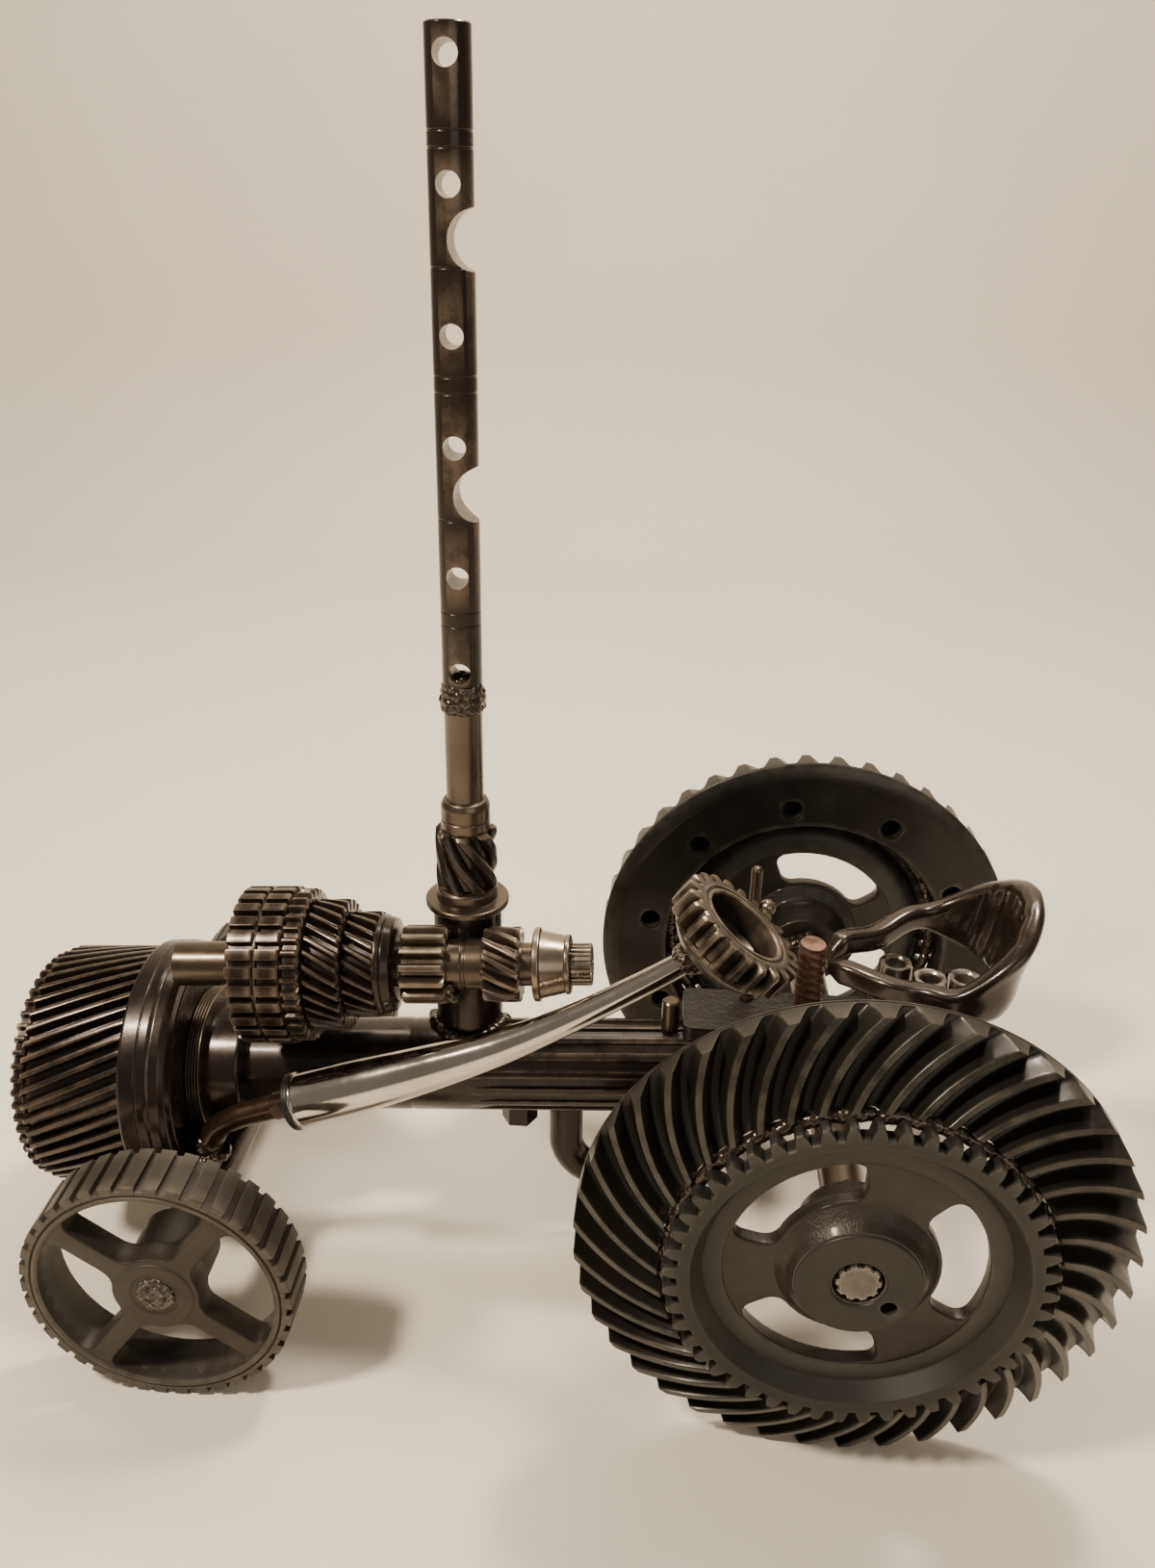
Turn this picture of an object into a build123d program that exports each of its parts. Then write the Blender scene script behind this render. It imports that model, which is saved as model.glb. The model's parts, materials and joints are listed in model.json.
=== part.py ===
"""Table-top tractor welded together out of gearbox and driveline parts.

Frame: millimetres, +X towards the tractor's rear, +Y towards its right side, +Z up.
The origin is on the ground, under the middle of the bounding box.
"""

from math import cos, pi, radians, sin, tan
import os

from build123d import *

# ---------------------------------------------------------------- driving dimensions
REAR_X = 129.75           # rear axle, behind the origin
REAR_R = 108.0            # crown wheel, 216 mm across the teeth
FRONT_X = REAR_X - 280.6  # front axle
FRONT_R = 57.5            # front pulley: 38 belt teeth at 3/8 inch pitch
CHASSIS_TILT = 3.376      # degrees that the chassis shaft falls towards the front
LAID_RISE = 64.3          # laid shaft above the chassis shaft, square to it
LAID_Y = -14.0            # laid shaft, left of the middle
STACK_X = REAR_X - 165.8  # exhaust stack
STACK_Y = 8.0
STACK_TOP = 526.6
LEVER_Y = -40.0           # upright plane that holds the steering lever
DECK_Z = 136.5            # top of the deck plate

RUNNING_FIT = 0.05        # radial clearance of a shaft that turns in a bore
SIDE_GAP = 0.35           # clearance beside a gear that turns

CHASSIS_R = 21.5
LAID_R = 10.0
REAR_AXLE_R = 9.3
FRONT_AXLE_R = 8.3
FRONT_TUBE_R = 11.0
ROCKER_R = 8.34

LEFT_RIGHT = {"left": -1, "right": 1}

os.makedirs("parts", exist_ok=True)

TILT = radians(CHASSIS_TILT)
FORWARD = Vector(-cos(TILT), 0, -sin(TILT))
ABOVE = Vector(-sin(TILT), 0, cos(TILT))
REAR_CENTRE = Vector(REAR_X, 0, REAR_R)
FRONT_CENTRE = Vector(FRONT_X, 0, FRONT_R)

# stations on these planes run forward from the rear axle; local X points to the right side
CHASSIS = Plane(origin=REAR_CENTRE, x_dir=(0, 1, 0), z_dir=FORWARD)
LAID = Plane(
    origin=REAR_CENTRE + ABOVE * LAID_RISE + Vector(0, LAID_Y, 0), x_dir=(0, 1, 0), z_dir=FORWARD
)
STACK = Plane(origin=(STACK_X, STACK_Y, 0))


# ---------------------------------------------------------------- helpers
def save(piece, label):
    """Label a finished sub-part and write its STEP file."""
    piece.part.label = label
    export_step(piece.part, f"parts/{label}.step")


def spun(plane, turn):
    """The same plane turned about its normal by a number of degrees."""
    spin_axis = Axis((0, 0, 0), plane.z_dir)
    return Plane(origin=plane.origin, x_dir=plane.x_dir.rotate(spin_axis, turn), z_dir=plane.z_dir)


def wheel_plane(centre, side, turn=0.0):
    """Plane on the tractor's middle, with its normal pointing out of that side and local Y up."""
    return spun(Plane(origin=centre, x_dir=(-side, 0, 0), z_dir=(0, side, 0)), turn)


def round_hub(plane, radius, turn):
    """The same plane moved to a point on a circle round its origin; turn in degrees."""
    x, y = radius * cos(radians(turn)), radius * sin(radians(turn))
    return Plane(
        origin=plane.from_local_coords(Vector(x, y, 0)), x_dir=plane.x_dir, z_dir=plane.z_dir
    )


def bar(plane, start, end, radius, mode=Mode.ADD):
    """Round bar between two stations along a plane's normal."""
    with BuildSketch(plane.offset(start)) as circle:
        Circle(radius)
    extrude(circle.sketch, amount=end - start, mode=mode)


def turned(plane, outline, mode=Mode.ADD):
    """Body turned about a plane's normal from (radius, station) corners."""
    profile_plane = Plane(origin=plane.origin, x_dir=plane.x_dir, z_dir=-plane.y_dir)
    with BuildSketch(profile_plane) as profile:
        Polygon(*outline, align=None)
    revolve(profile.sketch, axis=Axis(plane.origin, plane.z_dir), mode=mode)


def gear_points(teeth, root_r, tip_r, root_share, tip_share):
    """Corners of a toothed outline; each share is a tooth's width over the pitch."""
    points = []
    for tooth in range(teeth):
        middle = 2 * pi * tooth / teeth
        corners = (
            (root_r, -root_share),
            (tip_r, -tip_share),
            (tip_r, tip_share),
            (root_r, root_share),
        )
        for radius, share in corners:
            angle = middle + share * pi / teeth
            points.append((radius * cos(angle), radius * sin(angle)))
    return points


def toothed_bar(plane, start, end, points, twist=0.0, steps=3):
    """Toothed bar between two stations; twist is the turn in degrees from start to end."""
    if twist == 0:
        with BuildSketch(plane.offset(start)) as outline:
            Polygon(*points, align=None)
        extrude(outline.sketch, amount=end - start)
        return
    sections = []
    for step in range(steps + 1):
        share = step / steps
        level = spun(plane.offset(start + share * (end - start)), share * twist)
        with BuildSketch(level) as outline:
            Polygon(*points, align=None)
        sections.append(outline.sketch.face())
    loft(sections, ruled=True)


def helix_turn(helix_deg, length, tip_r):
    """Turn in degrees of a helical tooth along its length."""
    return tan(radians(helix_deg)) * length / tip_r * 180 / pi


# ---------------------------------------------------------------- chassis and front stack
FRONT_GEAR = (313.5, 359.1)       # stations on the chassis shaft
FRONT_GEAR_TEETH = 49
FRONT_GEAR_R = 55.4
FRONT_GEAR_ROOT_R = 50.6
FRONT_GEAR_HELIX = 22.0
FRONT_DOG_END = 365.0
FRONT_DOG_TEETH = 54
FRONT_DOG_R = 53.2
FRONT_DOG_ROOT_R = 50.8
FRONT_DOG_BORE_R = 40.0
PLAIN_RING = (299.5, 313.5)
PLAIN_RING_R = 58.4
STEP_RING = (291.5, 299.5)
THREAD_COLLAR = (284.5, 291.5)
THREAD_COLLAR_R = 36.0
THREAD_PITCH = 1.4
THREAD_DEPTH = 0.7
THREAD_RIDGES = 5
THRUST_RING = (268.8, 284.5)
THRUST_RING_R = 29.8
CHASSIS_NOSE_R = 19.0
CHASSIS_SPAN = (-18.0, 352.0)
FLUTES = 16
FLUTE_DEPTH = 1.5
FLUTE_HALF_WIDTH = 2.2
FLUTE_SPAN = (22.0, 158.0)


def saddle_front_tube():
    """Cut the saddle in which a collar sits on the front axle tube."""
    bar(wheel_plane(FRONT_CENTRE, 1), -60, 60, FRONT_TUBE_R, mode=Mode.SUBTRACT)


with BuildPart() as chassis_shaft:
    bar(CHASSIS, CHASSIS_SPAN[0], STEP_RING[0], CHASSIS_R)
    bar(CHASSIS, STEP_RING[0], CHASSIS_SPAN[1], CHASSIS_NOSE_R)
    for flute in range(FLUTES):
        flute_plane = spun(CHASSIS, 360 * (flute + 0.5) / FLUTES).offset(FLUTE_SPAN[0])
        with BuildSketch(flute_plane) as flute_profile:
            with Locations((CHASSIS_R, 0)):
                Rectangle(2 * FLUTE_DEPTH, 2 * FLUTE_HALF_WIDTH)
        extrude(flute_profile.sketch, amount=FLUTE_SPAN[1] - FLUTE_SPAN[0], mode=Mode.SUBTRACT)
    bar(
        wheel_plane(REAR_CENTRE, 1),
        -2 * CHASSIS_R,
        2 * CHASSIS_R,
        REAR_AXLE_R + RUNNING_FIT,
        mode=Mode.SUBTRACT,
    )
save(chassis_shaft, "chassis_shaft")

with BuildPart() as front_helical_gear:
    front_gear_length = FRONT_GEAR[1] - FRONT_GEAR[0]
    toothed_bar(
        CHASSIS,
        FRONT_GEAR[0],
        FRONT_GEAR[1],
        gear_points(FRONT_GEAR_TEETH, FRONT_GEAR_ROOT_R, FRONT_GEAR_R, 0.62, 0.34),
        twist=-helix_turn(FRONT_GEAR_HELIX, front_gear_length, FRONT_GEAR_R),
    )
    bar(CHASSIS, FRONT_GEAR[0], FRONT_GEAR[1], CHASSIS_NOSE_R, mode=Mode.SUBTRACT)
save(front_helical_gear, "front_helical_gear")

with BuildPart() as front_dog_ring:
    toothed_bar(
        CHASSIS,
        FRONT_GEAR[1],
        FRONT_DOG_END,
        gear_points(FRONT_DOG_TEETH, FRONT_DOG_ROOT_R, FRONT_DOG_R, 0.6, 0.3),
    )
    bar(CHASSIS, FRONT_GEAR[1], FRONT_DOG_END, FRONT_DOG_BORE_R, mode=Mode.SUBTRACT)
save(front_dog_ring, "front_dog_ring")

with BuildPart() as plain_ring:
    bar(CHASSIS, *PLAIN_RING, PLAIN_RING_R)
    bar(CHASSIS, *PLAIN_RING, CHASSIS_NOSE_R, mode=Mode.SUBTRACT)
save(plain_ring, "front_plain_ring")

with BuildPart() as step_ring:
    turned(
        CHASSIS,
        [
            (CHASSIS_NOSE_R, STEP_RING[0]),
            (51.6, STEP_RING[0]),
            (55.6, STEP_RING[0] + 1.2),
            (57.6, STEP_RING[0] + 3.6),
            (PLAIN_RING_R - 0.3, STEP_RING[1]),
            (CHASSIS_NOSE_R, STEP_RING[1]),
        ],
    )
    saddle_front_tube()
save(step_ring, "front_step_ring")

with BuildPart() as thread_collar:
    thread_root_r = THREAD_COLLAR_R - THREAD_DEPTH
    collar_outline = [(CHASSIS_R, THREAD_COLLAR[0]), (thread_root_r, THREAD_COLLAR[0])]
    for ridge in range(THREAD_RIDGES):
        station = THREAD_COLLAR[0] + THREAD_PITCH * ridge
        collar_outline.append((THREAD_COLLAR_R, station + THREAD_PITCH / 2))
        collar_outline.append((thread_root_r, station + THREAD_PITCH))
    collar_outline.append((CHASSIS_R, THREAD_COLLAR[1]))
    turned(CHASSIS, collar_outline)
    saddle_front_tube()
save(thread_collar, "threaded_collar")

with BuildPart() as thrust_ring:
    bar(CHASSIS, *THRUST_RING, THRUST_RING_R)
    bar(CHASSIS, *THRUST_RING, CHASSIS_R, mode=Mode.SUBTRACT)
    saddle_front_tube()
save(thrust_ring, "thrust_ring")

# ---------------------------------------------------------------- laid shaft and its gears
CLUTCH_HUB = (235.1, 258.2)
CLUTCH_HUB_R = 35.0
CLUTCH_GROOVE_R = 33.4
DOG_RING = (227.1, 235.1)
LARGE_GEAR = (211.1 + SIDE_GAP, 227.1 - SIDE_GAP)
LARGE_GEAR_R = 29.0
SMALL_GEAR = (197.3, 211.1)
SMALL_GEAR_R = 23.5
CONE = (189.6, 197.3)
SPUR_PINION = (167.6, 187.6)
SPUR_PINION_R = 17.5
SHAFT_GEAR = (135.1, 151.5)
SHAFT_GEAR_R = 16.7
LAID_HELIX = 30.0                 # of the helical gears on this shaft
LAID_JOURNAL_R = 9.6              # under the bearing race
LAID_SPLINES = 24
RACE = (113.1, 129.3)
LAID_END = 103.7
LAID_BODY_R = 11.4

with BuildPart() as laid_shaft:
    bar(LAID, SPUR_PINION[1], STEP_RING[0], LAID_R)
    bar(LAID, SHAFT_GEAR[1], SPUR_PINION[0], LAID_BODY_R)
    bar(LAID, SPUR_PINION[0], SPUR_PINION[1], LAID_R)
    shaft_gear_length = SHAFT_GEAR[1] - SHAFT_GEAR[0]
    toothed_bar(
        LAID,
        SHAFT_GEAR[0],
        SHAFT_GEAR[1],
        gear_points(13, 12.4, SHAFT_GEAR_R, 0.7, 0.32),
        twist=helix_turn(LAID_HELIX, shaft_gear_length, SHAFT_GEAR_R),
    )
    bar(LAID, RACE[0], SHAFT_GEAR[0], LAID_JOURNAL_R)
    toothed_bar(LAID, LAID_END, RACE[0], gear_points(LAID_SPLINES, 8.5, 9.35, 0.6, 0.4))
save(laid_shaft, "laid_shaft")

with BuildPart() as clutch_hub:
    groove_start, groove_end = CLUTCH_HUB[0] + 10.6, CLUTCH_HUB[0] + 11.7
    toothed_bar(LAID, *CLUTCH_HUB, gear_points(28, 31.6, CLUTCH_HUB_R, 0.72, 0.6))
    bar(LAID, *CLUTCH_HUB, LAID_R, mode=Mode.SUBTRACT)
    turned(
        LAID,
        [
            (CLUTCH_GROOVE_R, groove_start),
            (CLUTCH_HUB_R + 1, groove_start),
            (CLUTCH_HUB_R + 1, groove_end),
            (CLUTCH_GROOVE_R, groove_end),
        ],
        mode=Mode.SUBTRACT,
    )
save(clutch_hub, "double_clutch_hub")

with BuildPart() as dog_ring:
    toothed_bar(LAID, *DOG_RING, gear_points(36, 31.4, 33.8, 0.66, 0.3))
    bar(LAID, *DOG_RING, LAID_R, mode=Mode.SUBTRACT)
save(dog_ring, "dog_tooth_ring")

with BuildPart() as large_gear:
    toothed_bar(
        LAID,
        *LARGE_GEAR,
        gear_points(28, 24.8, LARGE_GEAR_R, 0.68, 0.3),
        twist=helix_turn(LAID_HELIX, LARGE_GEAR[1] - LARGE_GEAR[0], LARGE_GEAR_R),
    )
    bar(LAID, *LARGE_GEAR, LAID_R + RUNNING_FIT, mode=Mode.SUBTRACT)
save(large_gear, "large_speed_gear")

with BuildPart() as small_gear:
    toothed_bar(
        LAID,
        *SMALL_GEAR,
        gear_points(22, 19.2, SMALL_GEAR_R, 0.68, 0.32),
        twist=helix_turn(LAID_HELIX, SMALL_GEAR[1] - SMALL_GEAR[0], SMALL_GEAR_R),
    )
    bar(LAID, *SMALL_GEAR, LAID_R + RUNNING_FIT, mode=Mode.SUBTRACT)
save(small_gear, "small_speed_gear")

with BuildPart() as cone:
    turned(
        LAID,
        [
            (LAID_R + RUNNING_FIT, CONE[0]),
            (17.0, CONE[0]),
            (20.6, CONE[0] + 1.2),
            (22.4, CONE[1]),
            (LAID_R + RUNNING_FIT, CONE[1]),
        ],
    )
save(cone, "synchro_cone")

with BuildPart() as spur_pinion:
    toothed_bar(LAID, *SPUR_PINION, gear_points(14, 12.9, SPUR_PINION_R, 0.7, 0.36))
    bar(LAID, *SPUR_PINION, LAID_R, mode=Mode.SUBTRACT)
save(spur_pinion, "spur_pinion")

with BuildPart() as bearing_race:
    turned(
        LAID,
        [
            (LAID_JOURNAL_R, RACE[0]),
            (13.2, RACE[0]),
            (13.2, RACE[0] + 2.0),
            (12.6, RACE[0] + 2.4),
            (15.0, RACE[1] - 3.2),
            (16.4, RACE[1] - 2.8),
            (16.4, RACE[1]),
            (LAID_JOURNAL_R, RACE[1]),
        ],
    )
save(bearing_race, "tapered_bearing_race")

# ---------------------------------------------------------------- exhaust stack
POST_R = 15.4
POST_TOP = 182.3
POST_WELD_FOOT = 106.0            # level of the weld's lower edge
FLANGE_TOP = 185.4
STACK_RACE_TOP = 191.4
STACK_GEAR_TOP = 220.0
STACK_GEAR_R = 13.7
STACK_GEAR_HELIX = 38.0
COLLAR_STEP = 231.5
COLLAR_TOP = 234.0
PIPE_TOP = 275.0
WELD_TOP = 288.5
ROCKER_HOLE_R = 4.5
ROCKER_HOLE_TOP = 9.8             # first hole, below the shaft's top
ROCKER_SHORT_PITCH = 40.4         # between the two holes of a rocker
ROCKER_LONG_PITCH = 50.8          # from one rocker to the next
SCALLOP_R = 11.0
SCALLOP_DEPTH = 9.0
SCALLOP_DROPS = (68.3, 159.8)     # below the shaft's top


def clear_laid_shaft():
    """Cut the saddle that fits round the laid shaft and the two gears beside it."""
    bar(LAID, SHAFT_GEAR[0], SHAFT_GEAR[1], SHAFT_GEAR_R, mode=Mode.SUBTRACT)
    bar(LAID, SHAFT_GEAR[1], SPUR_PINION[0], LAID_BODY_R, mode=Mode.SUBTRACT)
    bar(LAID, SPUR_PINION[0], SPUR_PINION[1], SPUR_PINION_R, mode=Mode.SUBTRACT)


with BuildPart() as exhaust_post:
    bar(STACK, REAR_R, POST_TOP, POST_R)
    bar(CHASSIS, CHASSIS_SPAN[0], STEP_RING[0], CHASSIS_R, mode=Mode.SUBTRACT)
    clear_laid_shaft()
save(exhaust_post, "exhaust_post")

with BuildPart() as post_weld:
    turned(STACK, [(POST_R, 100), (POST_R + 4, 100), (POST_R + 3.6, 120), (POST_R, 125.5)])
    bar(CHASSIS, CHASSIS_SPAN[0], STEP_RING[0], CHASSIS_R, mode=Mode.SUBTRACT)
    bar(STACK, POST_WELD_FOOT - 20, POST_WELD_FOOT, 2 * POST_R, mode=Mode.SUBTRACT)
save(post_weld, "post_foot_weld")

with BuildPart() as stack_race:
    turned(
        STACK,
        [
            (0, POST_TOP),
            (18.8, POST_TOP),
            (18.8, FLANGE_TOP),
            (13.6, FLANGE_TOP + 0.4),
            (13.6, STACK_RACE_TOP - 1.2),
            (12.6, STACK_RACE_TOP),
            (0, STACK_RACE_TOP),
        ],
    )
save(stack_race, "stack_flange_race")

with BuildPart() as stack_pinion:
    toothed_bar(
        STACK,
        STACK_RACE_TOP,
        STACK_GEAR_TOP,
        gear_points(7, 10.0, STACK_GEAR_R, 0.72, 0.34),
        twist=-helix_turn(STACK_GEAR_HELIX, STACK_GEAR_TOP - STACK_RACE_TOP, STACK_GEAR_R),
        steps=6,
    )
    turned(
        STACK,
        [
            (0, STACK_GEAR_TOP),
            (10.8, STACK_GEAR_TOP),
            (10.8, COLLAR_STEP),
            (9.6, COLLAR_TOP),
            (8.1, COLLAR_TOP),
            (8.1, PIPE_TOP),
            (0, PIPE_TOP),
        ],
    )
save(stack_pinion, "stack_pinion_shaft")

with BuildPart() as stack_weld:
    turned(
        STACK,
        [
            (0, PIPE_TOP),
            (8.6, PIPE_TOP),
            (9.6, PIPE_TOP + 3),
            (9.4, WELD_TOP - 4),
            (8.7, WELD_TOP),
            (0, WELD_TOP),
        ],
    )
save(stack_weld, "stack_weld")

rocker_hole_levels = []
for rocker in range(3):
    upper = STACK_TOP - ROCKER_HOLE_TOP - rocker * (ROCKER_SHORT_PITCH + ROCKER_LONG_PITCH)
    rocker_hole_levels += [upper, upper - ROCKER_SHORT_PITCH]

with BuildPart() as rocker_shaft:
    bar(STACK, WELD_TOP, STACK_TOP, ROCKER_R)
    chamfer(rocker_shaft.edges().filter_by(GeomType.CIRCLE).sort_by(Axis.Z)[-1], 0.6)
    for level in rocker_hole_levels:
        hole_plane = Plane(origin=(STACK_X, STACK_Y, level), x_dir=(1, 0, 0), z_dir=(0, 1, 0))
        bar(hole_plane, -2 * ROCKER_R, 2 * ROCKER_R, ROCKER_HOLE_R, mode=Mode.SUBTRACT)
    for drop in SCALLOP_DROPS:
        scallop_x = STACK_X + ROCKER_R - SCALLOP_DEPTH + SCALLOP_R
        scallop_plane = Plane(
            origin=(scallop_x, STACK_Y, STACK_TOP - drop), x_dir=(1, 0, 0), z_dir=(0, 1, 0)
        )
        bar(scallop_plane, -2 * ROCKER_R, 2 * ROCKER_R, SCALLOP_R, mode=Mode.SUBTRACT)
save(rocker_shaft, "rocker_shaft_pipe")

# ---------------------------------------------------------------- steering lever and wheel
BALL_R = 7.0
LOWER_ROD_R = 5.8
SLEEVE_START = Vector(REAR_X - 235.9, LEVER_Y, 103.0)
SLEEVE_DIRECTION = Vector(61.0, 0, 22.0).normalized()
GROMMET_LENGTH = 4.0
GROMMET_R = 12.9
LEVER_BEND_R = 26.0
WHEEL_CENTRE = Vector(REAR_X - 44.2, LEVER_Y, 206.0)
WHEEL_AXIS = Vector(0.60, 0, 0.80)
STEERING_TEETH = 22
STEERING_TOOTH_DEPTH = 13.0
STEERING_TIP_R = 29.0
STEERING_ROOT_R = 24.7
STEERING_CUP_R = 17.5
STEERING_BOWL_DEPTH = 24.0
STEERING = Plane(origin=WHEEL_CENTRE, x_dir=(0, 1, 0), z_dir=WHEEL_AXIS)

ball_centre = Vector(FRONT_X, LEVER_Y, FRONT_R + FRONT_TUBE_R + BALL_R)
with BuildPart() as steering_ball:
    with Locations(ball_centre):
        Sphere(BALL_R)
save(steering_ball, "lever_ball")

grommet_back = SLEEVE_START - SLEEVE_DIRECTION * GROMMET_LENGTH
with BuildPart() as lower_rod:
    with BuildLine() as lower_rod_path:
        rod_start = ball_centre + Vector(3, 0, 5)
        bend = grommet_back - SLEEVE_DIRECTION * 20
        FilletPolyline(rod_start, bend, grommet_back, radius=LEVER_BEND_R)
    rod_tangent = lower_rod_path.line % 0
    with BuildSketch(Plane(origin=rod_start, z_dir=rod_tangent)) as rod_circle:
        Circle(LOWER_ROD_R)
    sweep(rod_circle.sketch, path=lower_rod_path.line)
    with Locations(ball_centre):
        Sphere(BALL_R, mode=Mode.SUBTRACT)
save(lower_rod, "lever_lower_rod")

with BuildPart() as grommet:
    grommet_plane = Plane(origin=grommet_back, x_dir=(0, 1, 0), z_dir=SLEEVE_DIRECTION)
    bar(grommet_plane, 0, GROMMET_LENGTH, GROMMET_R)
save(grommet, "lever_grommet")

SLEEVE_STATIONS = (
    # distance behind the sleeve's start, centre height, radius, slope in degrees
    (0.0, 103.0, 12.3, 19.8),
    (29.0, 113.4, 11.8, 20.2),
    (61.0, 125.6, 9.9, 21.5),
    (93.0, 139.4, 7.6, 25.5),
    (123.4, 156.4, 5.9, 31.0),
    (149.0, 173.0, 5.3, 33.5),
    (168.0, 186.2, 5.0, 36.0),
)
with BuildPart() as sleeve:
    sleeve_sections = []
    for behind, height, radius, slope in SLEEVE_STATIONS:
        centre = (SLEEVE_START.X + behind, LEVER_Y, height)
        direction = (cos(radians(slope)), 0, sin(radians(slope)))
        with BuildSketch(Plane(origin=centre, x_dir=(0, 1, 0), z_dir=direction)) as section:
            Circle(radius)
        sleeve_sections.append(section.sketch.face())
    loft(sleeve_sections)
    bar(grommet_plane, 0, GROMMET_LENGTH, GROMMET_R + 1, mode=Mode.SUBTRACT)
    bar(STEERING, -40, 0, STEERING_CUP_R, mode=Mode.SUBTRACT)
save(sleeve, "lever_chrome_sleeve")

with BuildPart() as steering_wheel:
    toothed_bar(
        STEERING,
        -STEERING_TOOTH_DEPTH,
        0,
        gear_points(STEERING_TEETH, STEERING_ROOT_R, STEERING_TIP_R, 0.66, 0.3),
    )
    turned(
        STEERING,
        [
            (0, -STEERING_BOWL_DEPTH),
            (12.0, -STEERING_BOWL_DEPTH),
            (19.0, -STEERING_BOWL_DEPTH + 3.5),
            (24.0, -STEERING_BOWL_DEPTH + 8),
            (STEERING_ROOT_R, -STEERING_TOOTH_DEPTH),
            (0, -STEERING_TOOTH_DEPTH),
        ],
    )
    turned(
        STEERING,
        [
            (0, -15.0),
            (11.0, -15.0),
            (STEERING_CUP_R - 1, -11.0),
            (STEERING_CUP_R, -1.0),
            (STEERING_CUP_R + 1, 0.5),
            (0, 0.5),
        ],
        mode=Mode.SUBTRACT,
    )
save(steering_wheel, "steering_wheel_gear")

# ---------------------------------------------------------------- deck, seat and small levers
DECK_X = (REAR_X - 65.9, REAR_X + 69.1)
DECK_HALF_WIDTH = 16.0
DECK_THICKNESS = 7.0
SCREW_X = REAR_X - 10.0
SCREW_TOP = 174.0
SCREW_R = 6.4
NUTS = ((REAR_X + 30, 13.0), (REAR_X + 43, 0.0), (REAR_X + 59, 2.0))
NUT_R = 8.0                       # across the corners, over two
NUT_HEIGHT = 23.0
SEAT_TILT = 5.0                   # degrees that the seat rises towards the back
SEAT_APEX = Vector(SCREW_X + SCREW_R, 2.0, 163.5)
SEAT_LENGTH = 80.0
SEAT_HALF_WIDTH = 36.0
SEAT_ARM_WIDTH = 9.0
SEAT_ARM_HEIGHT = 11.0
SEAT_BACK_HEIGHT = 46.0
SEAT_BACK_DROP = 6.0              # of the back's lower edge, below the arms
SEAT_BACK_START = 52.0            # along the seat, from its apex
CONTROL_ROD_R = 2.6
CONTROL_ROD = Vector(REAR_X - 36.5, 10.0, 0)
CONTROL_ROD_TOP = 206.0
CONTROL_BALL_R = 4.0
CONTROL_BALL_Z = 185.3
STUD_R = 4.0
STUD_X = REAR_X - 71.5
STUD_TOP = 140.0

with BuildPart() as deck_plate:
    with BuildSketch(Plane.XY.offset(DECK_Z - DECK_THICKNESS)) as deck_outline:
        with Locations(((DECK_X[0] + DECK_X[1]) / 2, 0)):
            RectangleRounded(DECK_X[1] - DECK_X[0], 2 * DECK_HALF_WIDTH, 4)
    extrude(deck_outline.sketch, amount=DECK_THICKNESS)
    with BuildSketch(Plane.XY.offset(REAR_R)) as web_outline:
        with Locations((REAR_X - 20, 0)):
            Rectangle(60, 10)
    extrude(web_outline.sketch, amount=DECK_Z - DECK_THICKNESS - REAR_R)
    bar(CHASSIS, 2 * CHASSIS_SPAN[0], STEP_RING[0], CHASSIS_R, mode=Mode.SUBTRACT)
save(deck_plate, "deck_plate")

with BuildPart() as seat_screw:
    bar(Plane(origin=(SCREW_X, 0, 0)), DECK_Z, SCREW_TOP, SCREW_R)
save(seat_screw, "seat_screw")

with BuildPart() as seat_nuts:
    for nut_x, nut_y in NUTS:
        with BuildSketch(Plane.XY.offset(DECK_Z)) as nut_outline:
            with Locations((nut_x, nut_y)):
                RegularPolygon(NUT_R, 6, rotation=30)
        extrude(nut_outline.sketch, amount=NUT_HEIGHT)
save(seat_nuts, "seat_nuts")

SEAT = Plane(
    origin=SEAT_APEX,
    x_dir=(cos(radians(SEAT_TILT)), 0, sin(radians(SEAT_TILT))),
    z_dir=(-sin(radians(SEAT_TILT)), 0, cos(radians(SEAT_TILT))),
)


def seat_loop(inset):
    """Pear-shaped outline of the seat, seen along the seat plane's normal."""
    width = SEAT_HALF_WIDTH - inset
    back = SEAT_LENGTH - inset
    with BuildLine() as outline:
        right_side = Spline(
            (inset, 0),
            (inset + 22, 0.48 * width),
            (SEAT_BACK_START, width),
            (back, 0),
            tangents=((0.35, 1), (0, -1)),
        )
        mirror(right_side, about=Plane.XZ)
    return outline


with BuildPart() as seat:
    with BuildSketch(SEAT.offset(-SEAT_ARM_HEIGHT / 2)) as arm_band:
        with BuildLine():
            add(seat_loop(0).line)
        make_face()
        with BuildLine():
            add(seat_loop(SEAT_ARM_WIDTH).line)
        make_face(mode=Mode.SUBTRACT)
    extrude(arm_band.sketch, amount=SEAT_ARM_HEIGHT)
    with BuildSketch(SEAT.offset(-SEAT_ARM_HEIGHT / 2 - SEAT_BACK_DROP)) as back_band:
        with BuildLine():
            add(seat_loop(0).line)
        make_face()
        with BuildLine():
            add(seat_loop(SEAT_ARM_WIDTH + 2).line)
        make_face(mode=Mode.SUBTRACT)
        with Locations((SEAT_BACK_START - 50, 0)):
            Rectangle(100, 200, mode=Mode.SUBTRACT)
    extrude(back_band.sketch, amount=SEAT_BACK_HEIGHT)
    bar(Plane(origin=(SCREW_X, 0, 0)), DECK_Z, SCREW_TOP + 20, SCREW_R, mode=Mode.SUBTRACT)
save(seat, "seat_shift_fork")

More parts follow.
